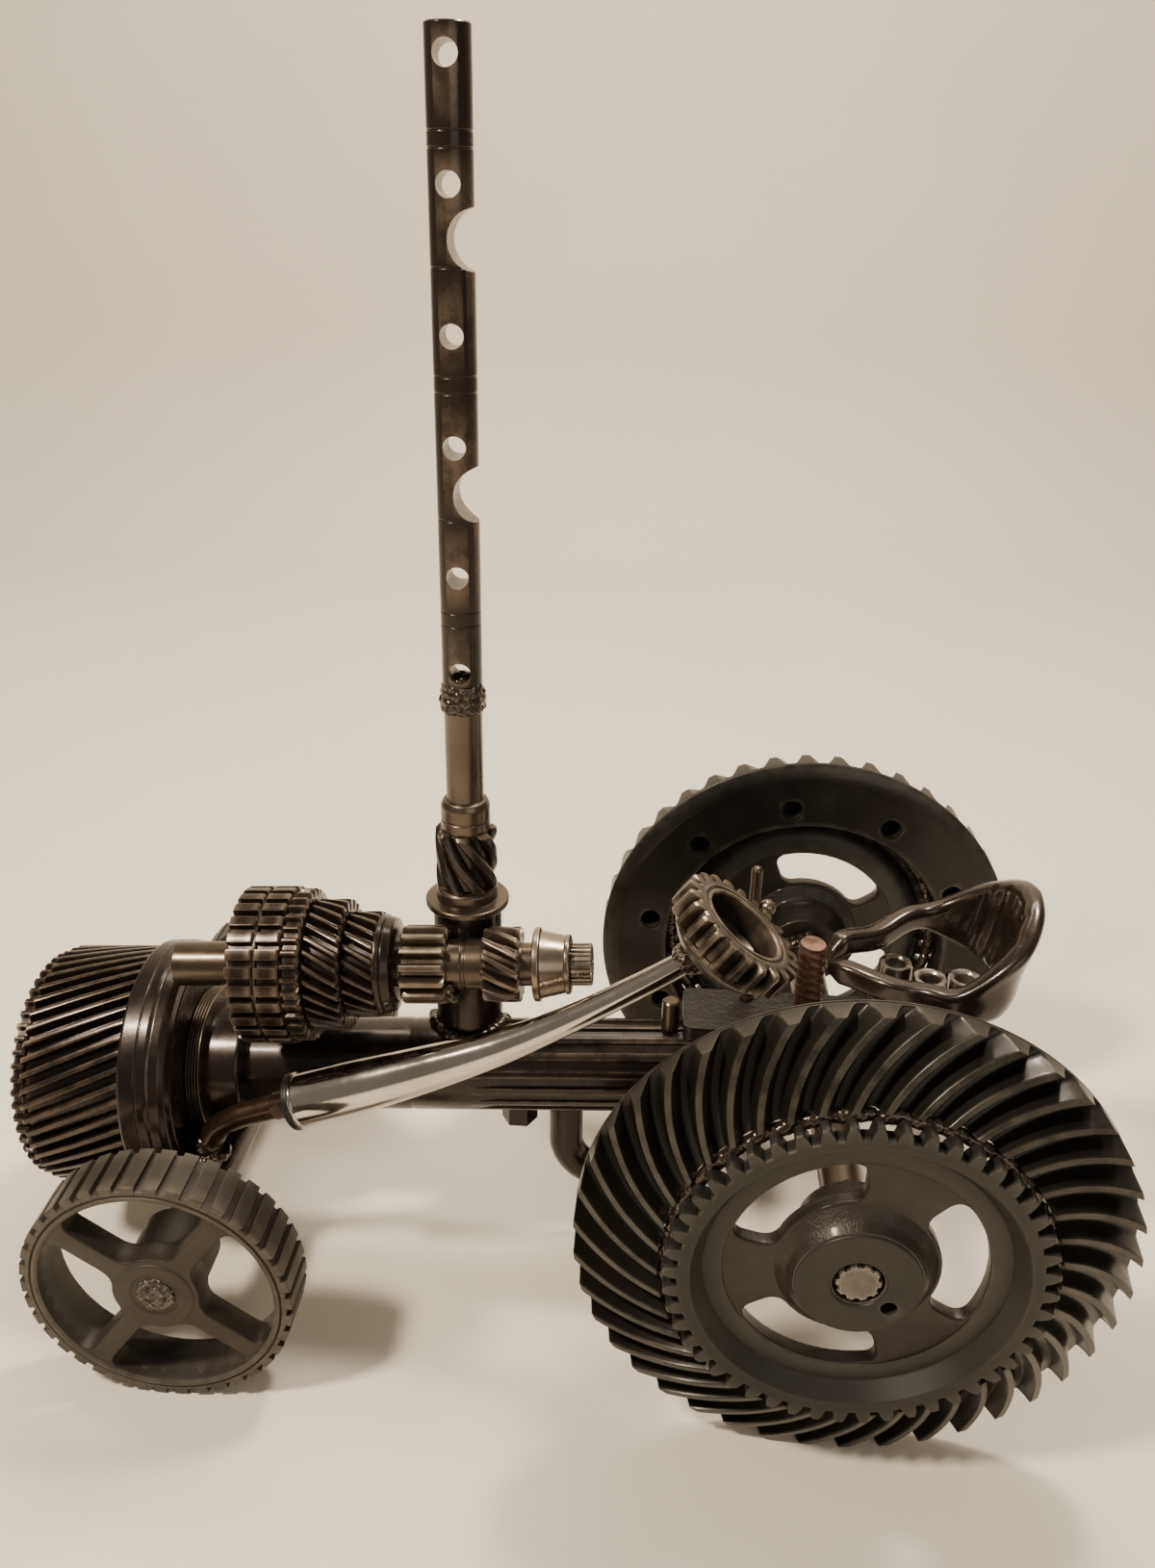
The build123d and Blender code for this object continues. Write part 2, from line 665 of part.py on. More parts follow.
with BuildPart() as control_rod:
    rod_plane = Plane(origin=CONTROL_ROD)
    bar(rod_plane, DECK_Z, CONTROL_ROD_TOP, CONTROL_ROD_R)
    fillet(control_rod.edges().filter_by(GeomType.CIRCLE).sort_by(Axis.Z)[-1], 2.2)
save(control_rod, "control_rod")

with BuildPart() as control_ball:
    with Locations(CONTROL_ROD + Vector(CONTROL_ROD_R + CONTROL_BALL_R - 0.8, 0, CONTROL_BALL_Z)):
        Sphere(CONTROL_BALL_R)
    bar(rod_plane, DECK_Z, CONTROL_ROD_TOP, CONTROL_ROD_R, mode=Mode.SUBTRACT)
save(control_ball, "control_ball")

with BuildPart() as deck_stud:
    bar(Plane(origin=(STUD_X, 0, 0)), REAR_R, STUD_TOP, STUD_R)
    chamfer(deck_stud.edges().filter_by(GeomType.CIRCLE).sort_by(Axis.Z)[-1], 0.8)
    bar(CHASSIS, *CHASSIS_SPAN, CHASSIS_R, mode=Mode.SUBTRACT)
save(deck_stud, "deck_stud")

# ---------------------------------------------------------------- underside
PIPE_X = REAR_X - 118.9
PIPE_R = 8.0
PIPE_BEND_R = 20.0
BOLT_X = REAR_X - 141.4
BOLT_HEAD_R = 8.6
BOLT_HEAD_Z = 68.5                # underside of the bolt head

with BuildPart() as drawbar:
    with BuildLine() as drawbar_path:
        pipe_start = Vector(PIPE_X, 0, 88)
        FilletPolyline(
            pipe_start,
            (PIPE_X, 0, 46),
            (PIPE_X + 20, 0, 36),
            (PIPE_X + 64, 0, 33),
            radius=PIPE_BEND_R,
        )
    with BuildSketch(Plane(origin=pipe_start, z_dir=(0, 0, -1))) as pipe_circle:
        Circle(PIPE_R)
    sweep(pipe_circle.sketch, path=drawbar_path.line)
    bar(CHASSIS, *CHASSIS_SPAN, CHASSIS_R, mode=Mode.SUBTRACT)
save(drawbar, "drawbar_pipe")

with BuildPart() as drawbar_bolt:
    with BuildSketch(Plane.XY.offset(BOLT_HEAD_Z)) as bolt_head:
        with Locations((BOLT_X, 0)):
            RegularPolygon(BOLT_HEAD_R, 6)
    extrude(bolt_head.sketch, amount=CHASSIS_R)
    bar(CHASSIS, *CHASSIS_SPAN, CHASSIS_R, mode=Mode.SUBTRACT)
save(drawbar_bolt, "drawbar_bolt")

# ---------------------------------------------------------------- front axle and pulleys
FRONT_TUBE_END = 79.0
PULLEY_TEETH = 38
PULLEY_TOOTH_DEPTH = 2.3
PULLEY_FACE = 113.3
PULLEY_BACK = 89.6
PULLEY_BOSS_BACK = 80.0
PULLEY_RIM_R = 50.0
PULLEY_BOSS_R = 17.0
PULLEY_WEB = (101.0, 111.5)
SPOKE_WIDTH = 9.0
SPOKE_ANGLES = (53, 143, 233, 323)
FRONT_TURN = {"left": 0.0, "right": 25.0}

with BuildPart() as front_tube:
    tube_plane = wheel_plane(FRONT_CENTRE, 1)
    bar(tube_plane, -FRONT_TUBE_END, FRONT_TUBE_END, FRONT_TUBE_R)
    bar(tube_plane, -FRONT_TUBE_END, FRONT_TUBE_END, FRONT_AXLE_R + RUNNING_FIT, mode=Mode.SUBTRACT)
save(front_tube, "front_axle_tube")

with BuildPart() as front_axle:
    bar(tube_plane, -PULLEY_FACE + 3, PULLEY_FACE - 3, FRONT_AXLE_R)
save(front_axle, "front_axle")

for side_name, side in LEFT_RIGHT.items():
    hub_plane = wheel_plane(FRONT_CENTRE, side, FRONT_TURN[side_name])
    with BuildPart() as pulley:
        toothed_bar(
            hub_plane,
            PULLEY_BACK,
            PULLEY_FACE,
            gear_points(PULLEY_TEETH, FRONT_R - PULLEY_TOOTH_DEPTH, FRONT_R, 0.6, 0.66),
        )
        bar(hub_plane, PULLEY_BACK, PULLEY_FACE, PULLEY_RIM_R, mode=Mode.SUBTRACT)
        bar(hub_plane, PULLEY_BOSS_BACK, PULLEY_FACE - 1, PULLEY_BOSS_R)
        with BuildSketch(hub_plane.offset(PULLEY_WEB[0])) as spokes:
            for spoke_angle in SPOKE_ANGLES:
                middle_r = (PULLEY_BOSS_R + PULLEY_RIM_R) / 2
                with PolarLocations(middle_r, 1, start_angle=spoke_angle):
                    Rectangle(PULLEY_RIM_R - PULLEY_BOSS_R + 6, SPOKE_WIDTH)
        extrude(spokes.sketch, amount=PULLEY_WEB[1] - PULLEY_WEB[0])
        bar(hub_plane, PULLEY_BOSS_BACK, PULLEY_FACE, FRONT_AXLE_R, mode=Mode.SUBTRACT)
    save(pulley, f"front_pulley_{side_name}")

    with BuildPart() as hub_weld:
        turned(
            hub_plane,
            [
                (0, PULLEY_FACE - 3),
                (FRONT_AXLE_R, PULLEY_FACE - 3),
                (FRONT_AXLE_R, PULLEY_FACE - 1),
                (9.6, PULLEY_FACE - 1),
                (7.6, PULLEY_FACE + 0.6),
                (0, PULLEY_FACE + 1.2),
            ],
        )
    save(hub_weld, f"front_hub_weld_{side_name}")

# ---------------------------------------------------------------- rear axle and wheels
AXLE_SHOULDER = 119.0             # where the axle steps down to its serrated ends
AXLE_END = 131.2
RING_BACK = 101.6
RING_HEEL = 115.3
RING_TOE = 127.0
RING_TOE_R = 75.0
RING_BORE_R = 73.6
RING_RIM_R = REAR_R - 0.4
RING_FACE_R = 100.0               # flat back face, inside its chamfer
RING_TEETH = 41
RING_HEEL_DEPTH = 9.5
RING_TOE_DEPTH = 6.0
RING_SPIRAL = 16.0                # degrees that the heel lags the toe
RING_BOLT_R = 5.0
RING_BOLT_CIRCLE_R = 83.2
RING_BOLTS = 10
RING_BOLT_DEPTH = 10.0
RING_BOLT_ANGLE = 62.4            # of one hole above the horizontal, seen from the left
SPROCKET_TEETH = 48
SPROCKET_ROOT_R = 67.6
SPROCKET_TIP_R = 73.2
SPROCKET_FACE = 132.0
SPROCKET_BACK = 125.0
SPROCKET_WEB = (117.0, 124.0)
SPROCKET_WEB_R = 58.0
SPROCKET_LIP_R = 62.8             # where the recess meets the rim's face
SPROCKET_HUB_FACE = 132.2
SPROCKET_HUB_R = 23.8
SPROCKET_HUB_BACK = 98.0
SPROCKET_CONE_R = 31.0            # foot of the hub's cone
SPROCKET_BORE_R = 10.4
SLOT_INNER_R = 33.0
SLOT_OUTER_R = 50.0
SLOT_SPAN = 76.0
SLOT_ANGLES = (8, 128, 248)
DOWEL_R = 3.2
DOWEL_CIRCLE_R = 16.0
DOWEL_ANGLE = -41
DOWEL_DEPTH = 10.0
REAR_TURN = {"left": 0.0, "right": -20.5}
RING_TACKS = 6
RING_TACK_R = 2.6
RING_TACK_CIRCLE_R = 71.2
RING_TACK_START = 117.0


def crown_section(plane, station):
    """Section of the crown wheel's teeth across its axle at one station."""
    toe_length = RING_TOE - RING_HEEL
    root_heel = RING_HEEL - RING_HEEL_DEPTH
    root_length = RING_TOE - RING_TOE_DEPTH - root_heel
    face_width = REAR_R - RING_TOE_R
    tip_r = min(REAR_R, REAR_R - face_width * (station - RING_HEEL) / toe_length)
    root_r = REAR_R - face_width * (station - root_heel) / root_length
    root_r = max(min(root_r, tip_r - 0.3), RING_TOE_R - 1.5)
    tip_r = max(tip_r, root_r + 0.3)
    points = []
    for tooth in range(RING_TEETH):
        corners = ((root_r, -0.78), (tip_r, -0.24), (tip_r, 0.24), (root_r, 0.78))
        for radius, share in corners:
            spiral = -RING_SPIRAL * (radius - RING_TOE_R) / face_width
            angle = 2 * pi * (tooth + share / 2) / RING_TEETH + radians(spiral)
            points.append((radius * cos(angle), radius * sin(angle)))
    with BuildSketch(plane.offset(station)) as section:
        Polygon(*points, align=None)
    return section.sketch.face()


with BuildPart() as rear_axle:
    rear_plane = wheel_plane(REAR_CENTRE, 1)
    bar(rear_plane, -AXLE_SHOULDER, AXLE_SHOULDER, REAR_AXLE_R)
    axle_serrations = gear_points(10, 7.9, 8.9, 0.7, 0.5)
    toothed_bar(rear_plane, AXLE_SHOULDER, AXLE_END, axle_serrations)
    toothed_bar(rear_plane, -AXLE_END, -AXLE_SHOULDER, axle_serrations)
save(rear_axle, "rear_axle")

for side_name, side in LEFT_RIGHT.items():
    hub_plane = wheel_plane(REAR_CENTRE, side, REAR_TURN[side_name])
    with BuildPart() as ring_gear:
        root_heel = RING_HEEL - RING_HEEL_DEPTH
        tooth_stations = (root_heel, RING_HEEL, RING_TOE - RING_TOE_DEPTH, RING_TOE)
        loft([crown_section(hub_plane, station) for station in tooth_stations], ruled=True)
        turned(
            hub_plane,
            [
                (0, RING_BACK),
                (RING_FACE_R, RING_BACK),
                (RING_RIM_R, RING_BACK + 2.2),
                (RING_RIM_R, root_heel),
                (0, root_heel),
            ],
        )
        bar(hub_plane, RING_BACK, RING_TOE, RING_BORE_R, mode=Mode.SUBTRACT)
        for bolt in range(RING_BOLTS):
            turn = radians(RING_BOLT_ANGLE + 360 * bolt / RING_BOLTS)
            hole_x = REAR_X + RING_BOLT_CIRCLE_R * cos(turn)
            hole_z = REAR_R + RING_BOLT_CIRCLE_R * sin(turn)
            bolt_plane = wheel_plane((hole_x, 0, hole_z), side)
            bar(bolt_plane, RING_BACK, RING_BACK + RING_BOLT_DEPTH, RING_BOLT_R, mode=Mode.SUBTRACT)
    save(ring_gear, f"ring_gear_{side_name}")

    with BuildPart() as sprocket:
        toothed_bar(
            hub_plane,
            SPROCKET_BACK,
            SPROCKET_FACE,
            gear_points(SPROCKET_TEETH, SPROCKET_ROOT_R, SPROCKET_TIP_R, 0.66, 0.3),
        )
        turned(
            hub_plane,
            [
                (SPROCKET_WEB_R, SPROCKET_WEB[0]),
                (SPROCKET_LIP_R, SPROCKET_WEB[0] + 3),
                (SPROCKET_ROOT_R - 2, SPROCKET_BACK),
                (SPROCKET_ROOT_R - 2, SPROCKET_BACK + 1),
                (SPROCKET_WEB_R, SPROCKET_BACK + 1),
            ],
        )
        turned(
            hub_plane,
            [
                (0, SPROCKET_WEB[1]),
                (SPROCKET_WEB_R, SPROCKET_WEB[1]),
                (SPROCKET_LIP_R, SPROCKET_FACE),
                (0, SPROCKET_FACE),
            ],
            mode=Mode.SUBTRACT,
        )
        bar(hub_plane, *SPROCKET_WEB, SPROCKET_WEB_R + 2)
        turned(
            hub_plane,
            [
                (0, SPROCKET_HUB_BACK),
                (20.0, SPROCKET_HUB_BACK),
                (24.0, SPROCKET_WEB[0] - 4),
                (SPROCKET_CONE_R, SPROCKET_WEB[0]),
                (SPROCKET_CONE_R, SPROCKET_WEB[1]),
                (SPROCKET_HUB_R + 1.6, SPROCKET_WEB[1] + 4),
                (SPROCKET_HUB_R, SPROCKET_HUB_FACE),
                (0, SPROCKET_HUB_FACE),
            ],
        )
        with BuildSketch(hub_plane.offset(SPROCKET_WEB[0] - 1)) as slots:
            for slot_angle in SLOT_ANGLES:
                slot_r = (SLOT_INNER_R + SLOT_OUTER_R) / 2
                round_share = (SLOT_OUTER_R - SLOT_INNER_R) / slot_r / 2 * 180 / pi
                half_arc = SLOT_SPAN / 2 - round_share
                with BuildLine():
                    slot_arc = CenterArc((0, 0), slot_r, slot_angle - half_arc, 2 * half_arc)
                SlotArc(slot_arc, SLOT_OUTER_R - SLOT_INNER_R)
        extrude(slots.sketch, amount=SPROCKET_WEB[1] - SPROCKET_WEB[0] + 2, mode=Mode.SUBTRACT)
        bar(hub_plane, SPROCKET_HUB_BACK, AXLE_SHOULDER, REAR_AXLE_R, mode=Mode.SUBTRACT)
        bar(hub_plane, AXLE_SHOULDER, SPROCKET_HUB_FACE, SPROCKET_BORE_R, mode=Mode.SUBTRACT)
        bar(
            round_hub(hub_plane, DOWEL_CIRCLE_R, DOWEL_ANGLE),
            SPROCKET_HUB_FACE - DOWEL_DEPTH,
            SPROCKET_HUB_FACE,
            DOWEL_R,
            mode=Mode.SUBTRACT,
        )
    save(sprocket, f"sprocket_{side_name}")

    with BuildPart() as tacks:
        for tack in range(RING_TACKS):
            tack_plane = round_hub(hub_plane, RING_TACK_CIRCLE_R, 360 * tack / RING_TACKS)
            bar(tack_plane, RING_TACK_START, SPROCKET_BACK, RING_TACK_R)
        turned(
            hub_plane,
            [
                (RING_BORE_R, RING_TACK_START),
                (RING_BORE_R + 2 * RING_TACK_R, RING_TACK_START),
                (RING_BORE_R + 2 * RING_TACK_R, SPROCKET_BACK),
                (RING_BORE_R, SPROCKET_BACK),
            ],
            mode=Mode.SUBTRACT,
        )
    save(tacks, f"ring_tack_welds_{side_name}")

    with BuildPart() as axle_weld:
        turned(
            hub_plane,
            [
                (REAR_AXLE_R, SPROCKET_HUB_BACK - 11),
                (REAR_AXLE_R + 1.6, SPROCKET_HUB_BACK - 10),
                (REAR_AXLE_R + 4.4, SPROCKET_HUB_BACK - 3),
                (REAR_AXLE_R + 4.8, SPROCKET_HUB_BACK),
                (REAR_AXLE_R, SPROCKET_HUB_BACK),
            ],
        )
    save(axle_weld, f"rear_hub_weld_{side_name}")
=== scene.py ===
"""Looks of the gearbox-part tractor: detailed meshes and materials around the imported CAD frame."""

import json
import math
import random

import bmesh
import bpy
import numpy as np
from mathutils import Matrix, Vector


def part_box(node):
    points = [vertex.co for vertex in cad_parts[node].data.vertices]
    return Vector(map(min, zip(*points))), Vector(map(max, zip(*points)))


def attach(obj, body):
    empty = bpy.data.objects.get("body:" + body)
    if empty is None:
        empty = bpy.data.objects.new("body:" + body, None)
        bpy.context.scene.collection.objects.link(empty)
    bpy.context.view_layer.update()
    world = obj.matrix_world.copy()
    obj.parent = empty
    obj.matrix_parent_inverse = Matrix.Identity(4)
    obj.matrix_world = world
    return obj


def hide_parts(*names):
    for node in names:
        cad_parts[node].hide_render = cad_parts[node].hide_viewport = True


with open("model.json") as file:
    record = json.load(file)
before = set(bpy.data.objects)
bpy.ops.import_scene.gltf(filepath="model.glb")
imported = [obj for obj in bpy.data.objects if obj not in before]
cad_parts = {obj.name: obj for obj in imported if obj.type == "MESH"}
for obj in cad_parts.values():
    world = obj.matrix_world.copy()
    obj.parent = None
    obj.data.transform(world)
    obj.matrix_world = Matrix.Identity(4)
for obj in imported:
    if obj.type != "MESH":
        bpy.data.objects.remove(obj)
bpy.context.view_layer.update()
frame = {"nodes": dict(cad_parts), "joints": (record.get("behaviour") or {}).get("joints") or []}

MM = 0.001
TAU = 2 * math.pi
ROOT = "tractor_frame"
JOINTS = {joint["name"]: joint for joint in frame["joints"]}


# ---------------------------------------------------------------- axes of the turned parts
class Axes:
    """A shaft's own axes: a point in metres, with x and y across it and z along it."""

    def __init__(self, origin, z, x):
        self.origin = np.array(origin, float)
        self.z = np.array(z, float) / np.linalg.norm(z)
        x = np.array(x, float)
        x = x - self.z * (x @ self.z)
        self.x = x / np.linalg.norm(x)
        self.y = np.cross(self.z, self.x)

    def world(self, points):
        """Points in millimetres along x, y and z, as metres in the row's frame."""
        points = np.asarray(points, float) * MM
        return self.origin + points @ np.array([self.x, self.y, self.z])

    def spun(self, degrees):
        """The same axes turned about z."""
        turn = math.radians(degrees)
        return Axes(self.origin, self.z, self.x * math.cos(turn) + self.y * math.sin(turn))


REAR = np.array(JOINTS["rear_axle_spin"]["pos_m"])
FRONT = np.array(JOINTS["front_axle_spin"]["pos_m"])
BACKWARD = np.array(JOINTS["large_gear_spin"]["axis"])
LAID_POINT = np.array(JOINTS["large_gear_spin"]["pos_m"])
RIGHT = (0, 1, 0)
UP = (0, 0, 1)

CHASSIS = Axes(REAR, -BACKWARD, RIGHT)
laid_rise = (LAID_POINT - REAR) - BACKWARD * ((LAID_POINT - REAR) @ BACKWARD)
LAID = Axes(REAR + laid_rise, -BACKWARD, RIGHT)
stack_low, stack_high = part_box("rocker_shaft_pipe")
stack_middle = (stack_low + stack_high) / 2
STACK = Axes((stack_middle.x, stack_middle.y, 0), UP, (1, 0, 0))


def wheel_axes(centre, side, turn=0.0):
    """Axes of a wheel, with z out of that side of the tractor and y up."""
    return Axes(centre, (0, side, 0), (-side, 0, 0)).spun(turn)


# ---------------------------------------------------------------- meshes
def finish_mesh(name, verts, faces, body, material, nodes, smooth_angle=32):
    """Make an object, mark its worn edges and its inside corners (painted shade and grime), and fix it to
    its body.
    """
    mesh = bpy.data.meshes.new(name)
    mesh.from_pydata([tuple(v) for v in verts], [], faces)
    mesh.validate()
    bm = bmesh.new()
    bm.from_mesh(mesh)
    bmesh.ops.remove_doubles(bm, verts=bm.verts, dist=2e-6)
    bmesh.ops.dissolve_degenerate(bm, edges=bm.edges, dist=1e-6)
    bmesh.ops.recalc_face_normals(bm, faces=bm.faces)
    bm.to_mesh(mesh)
    bm.free()
    obj = bpy.data.objects.new(name, mesh)
    bpy.context.scene.collection.objects.link(obj)
    return dress(obj, body, material, nodes, smooth_angle)


def dress(obj, body, material, nodes, smooth_angle=32):
    """Shade, paint and place a piece whose mesh is final."""
    mark_edges(obj.data)
    obj.data.shade_smooth()
    obj.data.set_sharp_from_angle(angle=math.radians(smooth_angle))
    obj.data.materials.clear()
    obj.data.materials.append(material)
    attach(obj, body)
    if nodes:
        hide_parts(*nodes)
    return obj


def mark_edges(mesh):
    """Vertex colour: red on outside edges, where lacquer and metal wear, green in inside corners, which the
    materials darken as painted shade and roughen as grime.
    """
    bm = bmesh.new()
    bm.from_mesh(mesh)
    bm.normal_update()
    marks = np.zeros((len(bm.verts), 4), np.float32)
    marks[:, 3] = 1
    for edge in bm.edges:
        if len(edge.link_faces) != 2:
            continue
        bend = edge.calc_face_angle_signed(0.0)
        channel = 0 if bend > 0 else 1
        strength = min(1.0, max(0.0, (abs(bend) - 0.25) / 0.45))
        for vert in edge.verts:
            marks[vert.index, channel] = max(marks[vert.index, channel], strength)
    bm.free()
    layer = mesh.color_attributes.new("edges", "FLOAT_COLOR", "POINT")
    layer.data.foreach_set("color", marks.ravel())


def skin_faces(ring_count, ring_size, closed):
    """Quads between successive rings of points; closed also joins the last ring to the first."""
    faces = []
    for ring in range(ring_count if closed else ring_count - 1):
        below = ring * ring_size
        above = ((ring + 1) % ring_count) * ring_size
        for point in range(ring_size):
            after = (point + 1) % ring_size
            faces.append((below + point, below + after, above + after, above + point))
    return faces


def skin(name, axes, rings, body, slot, material, nodes=(), closed=True, smooth_angle=32):
    """A skin over rings of local points; an open skin is capped at both ends."""
    size = len(rings[0])
    verts = axes.world(np.concatenate(rings))
    faces = skin_faces(len(rings), size, closed)
    if not closed:
        faces.append(tuple(range(size)))
        faces.append(tuple(range((len(rings) - 1) * size, len(rings) * size)))
    return finish_mesh(name, verts, faces, body, material, nodes, smooth_angle)


def polar(angles, radii, stations):
    """Local points from polar arrays; a single number stands for all points."""
    angles = np.asarray(angles, float)
    radii = np.broadcast_to(radii, angles.shape)
    stations = np.broadcast_to(stations, angles.shape)
    return np.stack([radii * np.cos(angles), radii * np.sin(angles), stations], axis=1)


def around(radius, angle, station):
    """One local point at a radius and an angle."""
    return (radius * math.cos(angle), radius * math.sin(angle), station)


def lumps(axes, spots):
    """Spots of a weld bead, from local (x, y, z, radius) in millimetres to metres."""
    places = axes.world([spot[:3] for spot in spots])
    return [(*place, spot[3] * MM) for place, spot in zip(places, spots)]


def rounded(profile, radius, closed=True):
    """Round a profile's corners with three points each, and hold the flats beside them."""
    profile = [np.array(p, float) for p in profile]
    count = len(profile)
    result = []
    for index, corner in enumerate(profile):
        if not closed and index in (0, count - 1):
            result.append(corner)
            continue
        before = profile[index - 1] - corner
        after = profile[(index + 1) % count] - corner
        reach = min(radius, 0.3 * np.linalg.norm(before), 0.3 * np.linalg.norm(after))
        before, after = before / np.linalg.norm(before), after / np.linalg.norm(after)
        first, last = corner + before * reach, corner + after * reach
        middle = (first + last) / 4 + corner / 2
        result += [corner + before * reach * 1.6, first, middle, last, corner + after * reach * 1.6]
    return result


def lathe(name, axes, profile, body, slot, material, nodes=(), radius=0.5, steps=96, closed=True):
    """Turned piece from (radius, station) corners, in millimetres."""
    angles = np.linspace(0, TAU, steps, endpoint=False)
    rings = [polar(angles, r, s) for r, s in rounded(profile, radius, closed)]
    return skin(name, axes, rings, body, slot, material, nodes, closed)


def tooth_outline(teeth, root_r, tip_r, root_share, tip_share, hollow=0.0):
    """Angles and radii round a toothed outline, with support points beside each corner."""
    depth = tip_r - root_r
    shape = []
    for height in (0.0, 0.1, 0.35, 0.65, 0.9, 0.985):
        bulge = hollow * math.sin(math.pi * height)
        share = root_share + (tip_share - root_share) * height + bulge
        shape.append((share, root_r + depth * height))
    shape.append((tip_share * 0.86, tip_r))
    half = [(1.0, root_r), (root_share * 1.06, root_r)] + shape
    angles, radii = [], []
    for tooth in range(teeth):
        middle = TAU * tooth / teeth
        for share, radius in [(-s, r) for s, r in half] + [(s, r) for s, r in reversed(half[1:])]:
            angles.append(middle + share * math.pi / teeth)
            radii.append(radius)
    return np.array(angles), np.array(radii)


def gear_rings(outline, start, end, bore, twist=0.0, chamfer=0.5, steps=6, recess=None):
    """Rings of a gear: toothed outside, plain faces and a bore. Twist is in degrees, start to end."""
    angles, radii = outline
    root = radii.min()
    length = end - start

    def level(station, shrink=0.0):
        turn = math.radians(twist) * (station - start) / length
        kept = np.maximum(radii - shrink, min(root, radii.max() - 0.01) - shrink)
        return polar(angles + turn, kept, station)

    def circle(radius, station):
        turn = math.radians(twist) * (station - start) / length
        return polar(angles + turn, radius, station)

    rings = [level(start, chamfer), level(start + chamfer)]
    for step in range(1, steps):
        rings.append(level(start + length * step / steps))
    rings += [level(end - chamfer), level(end, chamfer)]
    rim = root - 1.6
    rings.append(circle(rim, end))
    if recess:
        inner, depth = recess
        rings += [circle(rim - 0.6, end - 0.5), circle(rim - 1.4, end - depth),
                  circle(inner + 1.4, end - depth)]
        rings += [circle(inner + 0.5, end - 0.5), circle(inner, end)]
    rings += [circle(bore + 0.5, end), circle(bore, end - 0.5)]
    rings += [circle(bore, start + 0.5), circle(bore + 0.5, start), circle(rim, start)]
    return rings


def gear(name, axes, outline, start, end, bore, body, slot, material, nodes=(), **shape):
    """A toothed wheel on a shaft."""
    rings = gear_rings(outline, start, end, bore, **shape)
    return skin(name, axes, rings, body, slot, material, nodes, smooth_angle=28)


def helix(degrees, length, tip_r):
    """Turn in degrees of a helical tooth along its length."""
    return math.degrees(math.tan(math.radians(degrees)) * length / tip_r)


def tube(name, path, radii, body, slot, material, nodes=(), steps=48, end_round=0.6):
    """A bar along a path of points in metres, with a radius in millimetres at each point."""
    path = [np.array(p, float) for p in path]
    rings = []
    across = None
    for index, point in enumerate(path):
        before, after = path[max(index - 1, 0)], path[min(index + 1, len(path) - 1)]
        along = (after - before) / np.linalg.norm(after - before)
        if across is None:
            across = np.cross(along, (0.3, 1.0, 0.2))
        across = across - along * (across @ along)
        across /= np.linalg.norm(across)
        other = np.cross(along, across)
        angles = np.linspace(0, TAU, steps, endpoint=False)
        spread = np.outer(np.cos(angles), across) + np.outer(np.sin(angles), other)
        radius = radii[index] * MM
        if index == 0:
            rings.append(point + spread * (radius - end_round * MM))
            rings.append(point + along * end_round * MM + spread * radius)
        elif index == len(path) - 1:
            rings.append(point - along * end_round * MM + spread * radius)
            rings.append(point + spread * (radius - end_round * MM))
        else:
            rings.append(point + spread * radius)
    verts = np.concatenate(rings)
    faces = skin_faces(len(rings), steps, False)
    faces.append(tuple(range(steps)))
    faces.append(tuple(range((len(rings) - 1) * steps, len(rings) * steps)))
    return finish_mesh(name, verts, faces, body, material, nodes)


def smooth_path(points, count):
    """Points along a Catmull-Rom curve through the given ones (any number of columns)."""
    points = [np.array(p, float) for p in points]
    points = [2 * points[0] - points[1]] + points + [2 * points[-1] - points[-2]]
    spans = len(points) - 3
    result = []
    for step in range(count + 1):
        place = step / count * spans
        span = min(int(place), spans - 1)
        t = place - span
        a, b, c, d = points[span : span + 4]
        result.append(0.5 * (2 * b + (c - a) * t + (2 * a - 5 * b + 4 * c - d) * t * t
                             + (3 * b - a - 3 * c + d) * t**3))
    return result


def bead(name, spots, body, slot, material, nodes=(), seed=1, voxel=0.7, rough=0.25):
    """A weld bead: overlapping lumps fused into one skin. Spots are (x, y, z, radius) in metres."""
    draw = random.Random(seed)
    bm = bmesh.new()
    for x, y, z, radius in spots:
        place = Matrix.Translation((x, y, z))
        wobble = Matrix.Diagonal(tuple(draw.uniform(0.85, 1.15) for _ in range(3))).to_4x4()
        bmesh.ops.create_icosphere(bm, subdivisions=2, radius=radius, matrix=place @ wobble)
    mesh = bpy.data.meshes.new(name)
    bm.to_mesh(mesh)
    bm.free()
    obj = bpy.data.objects.new(name, mesh)
    bpy.context.scene.collection.objects.link(obj)
    remesh = obj.modifiers.new("fuse", "REMESH")
    remesh.mode = "VOXEL"
    remesh.voxel_size = voxel * MM
    relax = obj.modifiers.new("relax", "SMOOTH")
    relax.iterations = 3
    depsgraph = bpy.context.evaluated_depsgraph_get()
    final = bpy.data.meshes.new_from_object(obj.evaluated_get(depsgraph))
    obj.modifiers.clear()
    obj.data = final
    for vert in final.vertices:
        lump = math.sin(vert.co.x * 1900
                        + seed) * math.sin(vert.co.y * 2300) * math.sin(vert.co.z * 2100 + seed)
        vert.co += vert.normal * lump * rough * MM
    return dress(obj, body, material, nodes, smooth_angle=60)


# ---------------------------------------------------------------- materials
def new_material(name):
    """An empty node material, with its output and principled shader."""
    material = bpy.data.materials.new(name)
    material.use_nodes = True
    tree = material.node_tree
    tree.nodes.clear()
    output = tree.nodes.new("ShaderNodeOutputMaterial")
    shader = tree.nodes.new("ShaderNodeBsdfPrincipled")
    tree.links.new(shader.outputs["BSDF"], output.inputs["Surface"])
    return material, tree, shader


